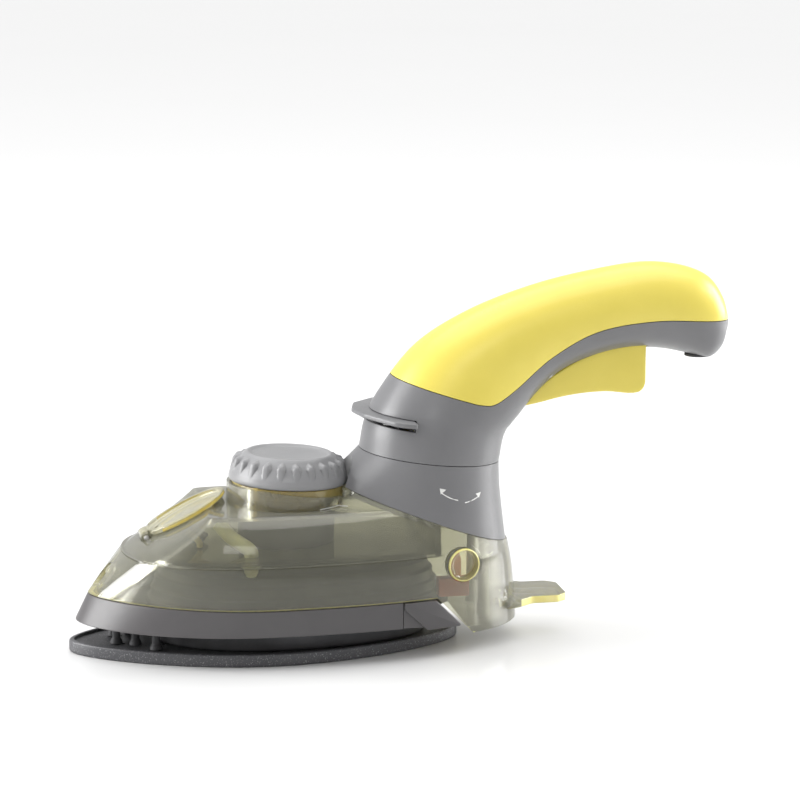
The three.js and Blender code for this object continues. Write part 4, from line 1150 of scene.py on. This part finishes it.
def triggerBody():
    # rounded cross-sections from the tip under the lug to the heel behind the fingers
    t = triggerShape
    low = smoothLine([(x, z, 0) for x, z in t["under"]], 60)
    high = smoothLine([(x, z, 0) for x, z in t["over"]], 60)

    def heightOn(line, x):
        for p, q in zip(line, line[1:]):
            if p.x <= x <= q.x:
                return p.y + (q.y - p.y) * (x - p.x) / max(q.x - p.x, 1e-6)
        return line[0].y if x < line[0].x else line[-1].y

    first, last = t["under"][0][0], t["over"][-1][0]
    places = [(first, 0.6), (first + 0.15, 0.25), (first + 0.5, 0)]
    places += [(first + (last - first) * k / 40, 0) for k in range(1, 40)]
    places += [(last - 0.5, 0), (last - 0.15, 0.25), (last, 0.6)]
    rings = []
    for x, by in places:
        bottom, top = heightOn(low, x) + by, heightOn(high, x) - by
        half = t["half"] - by
        r = min(t["corner"], (top - bottom) / 2 - 0.05)
        ring = []
        for cy, cz, turn in ((half - r, top - r, 0), (-half + r, top - r, 1), (-half + r, bottom + r, 2),
                             (half - r, bottom + r, 3)):
            for k in range(7):
                angle = math.pi / 2 * (turn + k / 6)
                ring.append(Vector((x, cy + r * math.cos(angle), cz + r * math.sin(angle))))
        rings.append(ring)
    return loft("triggerBody", rings)


def makeTrigger():
    t = triggerShape
    body = triggerBody()
    lug = slab("lug", t["lug"], t["half"] - 0.2, 0.5)
    hole = rod(t["pinRadius"] + gap, -20, 20, Matrix.Translation(hinge.translation) @ layAcross, 32)
    springSeat = rod(t["springRadius"], 111, 130, at(t["springX"]), 32)
    cut(join(body, lug), hole, springSeat)
    body.name = "triggerPad"
    settle(body, "trigger", "yellow_plastic", finish["yellowPlastic"], "trigger", angle=40)


def makeLever():
    v = leverShape
    corners = [(v["front"], 0), *v["chamfer"], (v["back"], v["half"])]
    plan = [*[(x, -y) for x, y in reversed(corners[1:])], *corners]
    place = swivel @ at(0, 0, v["bottom"])
    blank = pressed("releaseLever", soften(plan, 1.2), v["thickness"], place, 0.4)
    join(blank, bar("pin", v["pinRadius"], 3.4, v["bottom"] + 0.5, swivel @ at(v["pin"])))
    settle(blank, "lever", "grey_plastic", finish["greyPlastic"], "release_lever")


def makeGland():
    g = glandShape
    low, high = span("cord_gland")
    bore, flange, r = g["bore"], g["flange"], g["radius"]
    profile = [(bore, low.z), (flange, low.z), (flange, low.z + 1), (r, low.z + 1.3), (r, high.z),
               (bore, high.z)]
    gland = turned("cordGland", soften(profile, 0.35), at(g["x"]))
    settle(gland, "handle", "black_rubber", finish["blackRubber"], "cord_gland")


def makeRear():
    r = lensShape["radius"]
    glass = [(0, 0.9), (4.4, 1.15), (5.2, 2.0), (r - 0.3, 2.0), (r, 1.6), (r, -2.4), (r - 1, -2.4),
             (r - 1, -0.4), (0, -0.4)]
    lens = turned("lampLens", soften(glass, 0.25, closed=False), lensFrame())
    lens.data.materials.append(finish["lensClear"])
    face = lensFrame()

    def rimWall(c, n):
        local = face.inverted() @ c
        return math.hypot(local.x, local.y) > r - 0.75 and local.z > -2.6

    # the lens rim takes the painted edge glint
    paintEdgeGlint(lens, rimWall, finish["paintedEdgeGlint"])
    settle(lens, "base", "amber_plastic", finish["lensClear"], "lamp_lens")
    low, high = span("lamp_holder")
    plan = soften([(low.x, low.y), (high.x, low.y), (high.x, high.y), (low.x, high.y)], 0.8)
    holder = pressed("lampHolder", plan, high.z - low.z, at(0, 0, low.z), 0.4)
    settle(holder, "base", "red_plastic", finish["redPlastic"], "lamp_holder")
    low, high = span("pilot_lamp")
    centre = (low + high) / 2
    radius = (high.x - low.x) / 2
    bulb = [(0, low.z), (radius, low.z), (radius, low.z + 6.5), (radius * 0.6, high.z - 0.6), (0, high.z)]
    lamp = turned("pilotLamp", soften(bulb, 1.2, closed=False), at(centre.x, centre.y), 40)
    settle(lamp, "base", "red_plastic", finish["redPlastic"], "pilot_lamp")
    for hand in ("left", "right"):
        low, high = span("rear_post_" + hand)
        centre = (low + high) / 2
        radius = (high.x - low.x) / 2
        post = soften([(0, low.z), (radius + 0.5, low.z), (radius, low.z + 2), (radius - 0.3, high.z - 0.4),
                       (0, high.z)], 0.4, closed=False)
        piece = turned("rearPost" + hand.title(), post, at(centre.x, centre.y), 40)
        settle(piece, "base", "white_plastic", finish["whitePlastic"], "rear_post_" + hand)


# printed marks: thin ink laid on a surface along a side view line

markShape = {"thickness": 0.06, "lift": 0.05}


def inkOn(surface, name, strips, body):
    # strips are lists of (x, z) corners, four to a face, pressed on to the near side
    tree = BVHTree.FromObject(surface, bpy.context.evaluated_depsgraph_get())
    verts, faces = [], []
    for strip in strips:
        start = len(verts)
        count = len(strip)
        for lift in (markShape["lift"], markShape["lift"] + markShape["thickness"]):
            for x, z in strip:
                hit, normal, _, _ = tree.ray_cast(Vector((x, -90, z)) * mm, Vector((0, 1, 0)))
                verts.append(hit / mm + normal * lift)
        faces.append(tuple(range(start, start + count)))
        faces.append(tuple(reversed(range(start + count, start + 2 * count))))
        for k in range(count):
            n = (k + 1) % count
            faces.append((start + k, start + count + k, start + count + n, start + n))
    mark = newPiece(name, verts, faces)
    settle(mark, body, "white_plastic", finish["paleInk"])


def arcStrip(centre, radius, first, last, thick, steps=12):
    # a stroke along an arc, as a run of small four-cornered patches
    out = []
    for k in range(steps):
        row = []
        for j, r in ((k, radius), (k + 1, radius), (k + 1, radius + thick), (k, radius + thick)):
            angle = math.radians(first + (last - first) * j / steps)
            row.append((centre[0] + r * math.cos(angle), centre[1] + r * math.sin(angle)))
        out.append(row)
    return out


def makeMarks():
    turret = bpy.data.objects["turretBody"]
    left = arcStrip((10.4, 74.5), 15.4, 229, 257, 0.4, 8)
    right = arcStrip((8.6, 73.6), 15.3, 274, 297, 0.4, 8)
    heads = [[(-0.2, 64.2), (0.1, 61.9), (2.3, 63.6)], [(16.6, 61.2), (14.3, 60.9), (15.7, 59.2)]]
    inkOn(turret, "swivelMark", [*left, *right, *heads], "base")
    tank = bpy.data.objects["tankCasing"]
    line = []
    for x in range(-45, -34):
        z = (x + 45) * 0.02
        line.append([(x, 56.2 + z), (x + 1, 56.22 + z), (x + 1, 56.55 + z), (x, 56.53 + z)])
    inkOn(tank, "fillLine", line, "base")


carriedOver = {
    "base_pan": "darkPlastic", "chamber_lid": "steel", "thermostat": "steel", "pump": "whitePlastic",
    "swivel_spindle": "whitePlastic", "swivel_washer": "steel", "swivel_nut": "whitePlastic",
    "trigger_pin": "steel", "trigger_spring": "steel", "microswitch": "blackRubber",
    "release_spring": "steel",
}


def dressCarriedOver():
    for name, skin in carriedOver.items():
        frame["nodes"][name].data.materials.clear()
        frame["nodes"][name].data.materials.append(finish[skin])


stages = [
    ("sole and heater", makeSole), ("skirt", makeSkirt), ("clear casing", makeCasing),
    ("inside", makeInside),
    ("water feed", makeFeed), ("filler flap", makeFlap), ("knob", makeKnob), ("dial seat", makeDialSeat),
    ("turret", makeTurret), ("grip", makeGrip), ("trigger", makeTrigger), ("lever", makeLever),
    ("cord gland", makeGland), ("rear compartment", makeRear), ("printed marks", makeMarks),
    ("inner works", dressCarriedOver),
]
for label, make in stages:
    make()
    print("made:", label)

# studio

studio = {"swing": 10.4, "rise": 10.6, "distance": 1.2, "lens": 140.4, "aimAbove": 0.0211,
          "floorHalf": 6, "floorWhite": 0.7, "floorFar": 0.92, "floorSweep": (0.3, 0.8),
          "world": 0.62, "sun": 2.1, "sunSpread": 70, "sunTilt": -14,
          "boxAim": (0, 0, 0.08),
          "boxes": {"leftBox": ((-1.1, 0.15, 0.45), (0.7, 0.8), 17),
                    "rightBox": ((1.1, 0.15, 0.45), (0.7, 0.8), 17),
                    "frontBox": ((-0.2, -1.4, 1.1), (0.5, 0.4), 1.8)}}


def softBox(name, place, aim, size, power):
    lamp = bpy.data.lights.new(name, "AREA")
    lamp.shape = "RECTANGLE"
    lamp.size, lamp.size_y = size
    lamp.energy = power
    light = linked(name, lamp)
    light.location = place
    light.rotation_euler = (Vector(aim) - Vector(place)).to_track_quat("-Z", "Y").to_euler()


def makeStudio():
    low, high = cadBox
    centre = (low + high) / 2
    aim = centre + Vector((0, 0, studio["aimAbove"]))
    swing, rise = math.radians(studio["swing"]), math.radians(studio["rise"])
    back = Vector((-math.sin(swing) * math.cos(rise), -math.cos(swing) * math.cos(rise), math.sin(rise)))
    camera = bpy.data.cameras.new("productCamera")
    camera.lens = studio["lens"]
    camera.clip_start, camera.clip_end = 0.05, 20
    stand = linked("productCamera", camera)
    stand.location = aim + back * studio["distance"]
    stand.rotation_euler = (-back).to_track_quat("-Z", "Y").to_euler()
    bpy.context.scene.camera = stand

    reach = studio["floorHalf"] / mm
    corners = [(x * reach, y * reach, -0.05) for x, y in ((-1, -1), (1, -1), (1, 1), (-1, 1))]
    floor = newPiece("studioFloor", corners, [(0, 1, 2, 3)])
    m, tree = newMaterial("paleFloor")
    out = node(tree, "ShaderNodeOutputMaterial")
    shader = node(tree, "ShaderNodeBsdfPrincipled", Roughness=0.22)
    near, far = studio["floorWhite"], studio["floorFar"]
    place = node(tree, "ShaderNodeTexCoord")
    away = node(tree, "ShaderNodeVectorMath", operation="LENGTH")
    tree.links.new(place.outputs["Object"], away.inputs[0])
    sweep = spread(tree, away.outputs["Value"], 0.0, 1.0, *studio["floorSweep"])
    paper = blendColour(tree, sweep, (near,) * 3, (far,) * 3)
    tree.links.new(blendColour(tree, product(tree, noiseAt(tree, 400, 2), 0.02), paper, (0, 0, 0)),
                   shader.inputs["Base Color"])
    shader.inputs["Specular IOR Level"].default_value = 0.35
    tree.links.new(shader.outputs[0], out.inputs["Surface"])
    floor.data.materials.append(m)

    sky = bpy.data.lights.new("skyPanel", "SUN")
    sky.energy = studio["sun"]
    sky.angle = math.radians(studio["sunSpread"])
    panel = linked("skyPanel", sky)
    panel.rotation_euler = (math.radians(studio["sunTilt"]), 0, 0)  # from above and a little behind
    for name, (place, size, power) in studio["boxes"].items():
        softBox(name, place, studio["boxAim"], size, power)

    world = bpy.data.worlds.new("paperWhite")
    world.use_nodes = True
    tree = world.node_tree
    tree.nodes["Background"].inputs["Color"].default_value = (1, 1, 1, 1)
    tree.nodes["Background"].inputs["Strength"].default_value = studio["world"]
    bpy.context.scene.world = world
    bpy.context.scene.view_settings.view_transform = "Standard"
    bpy.context.scene.cycles.transparent_max_bounces = 24


makeStudio()
print("studio set")
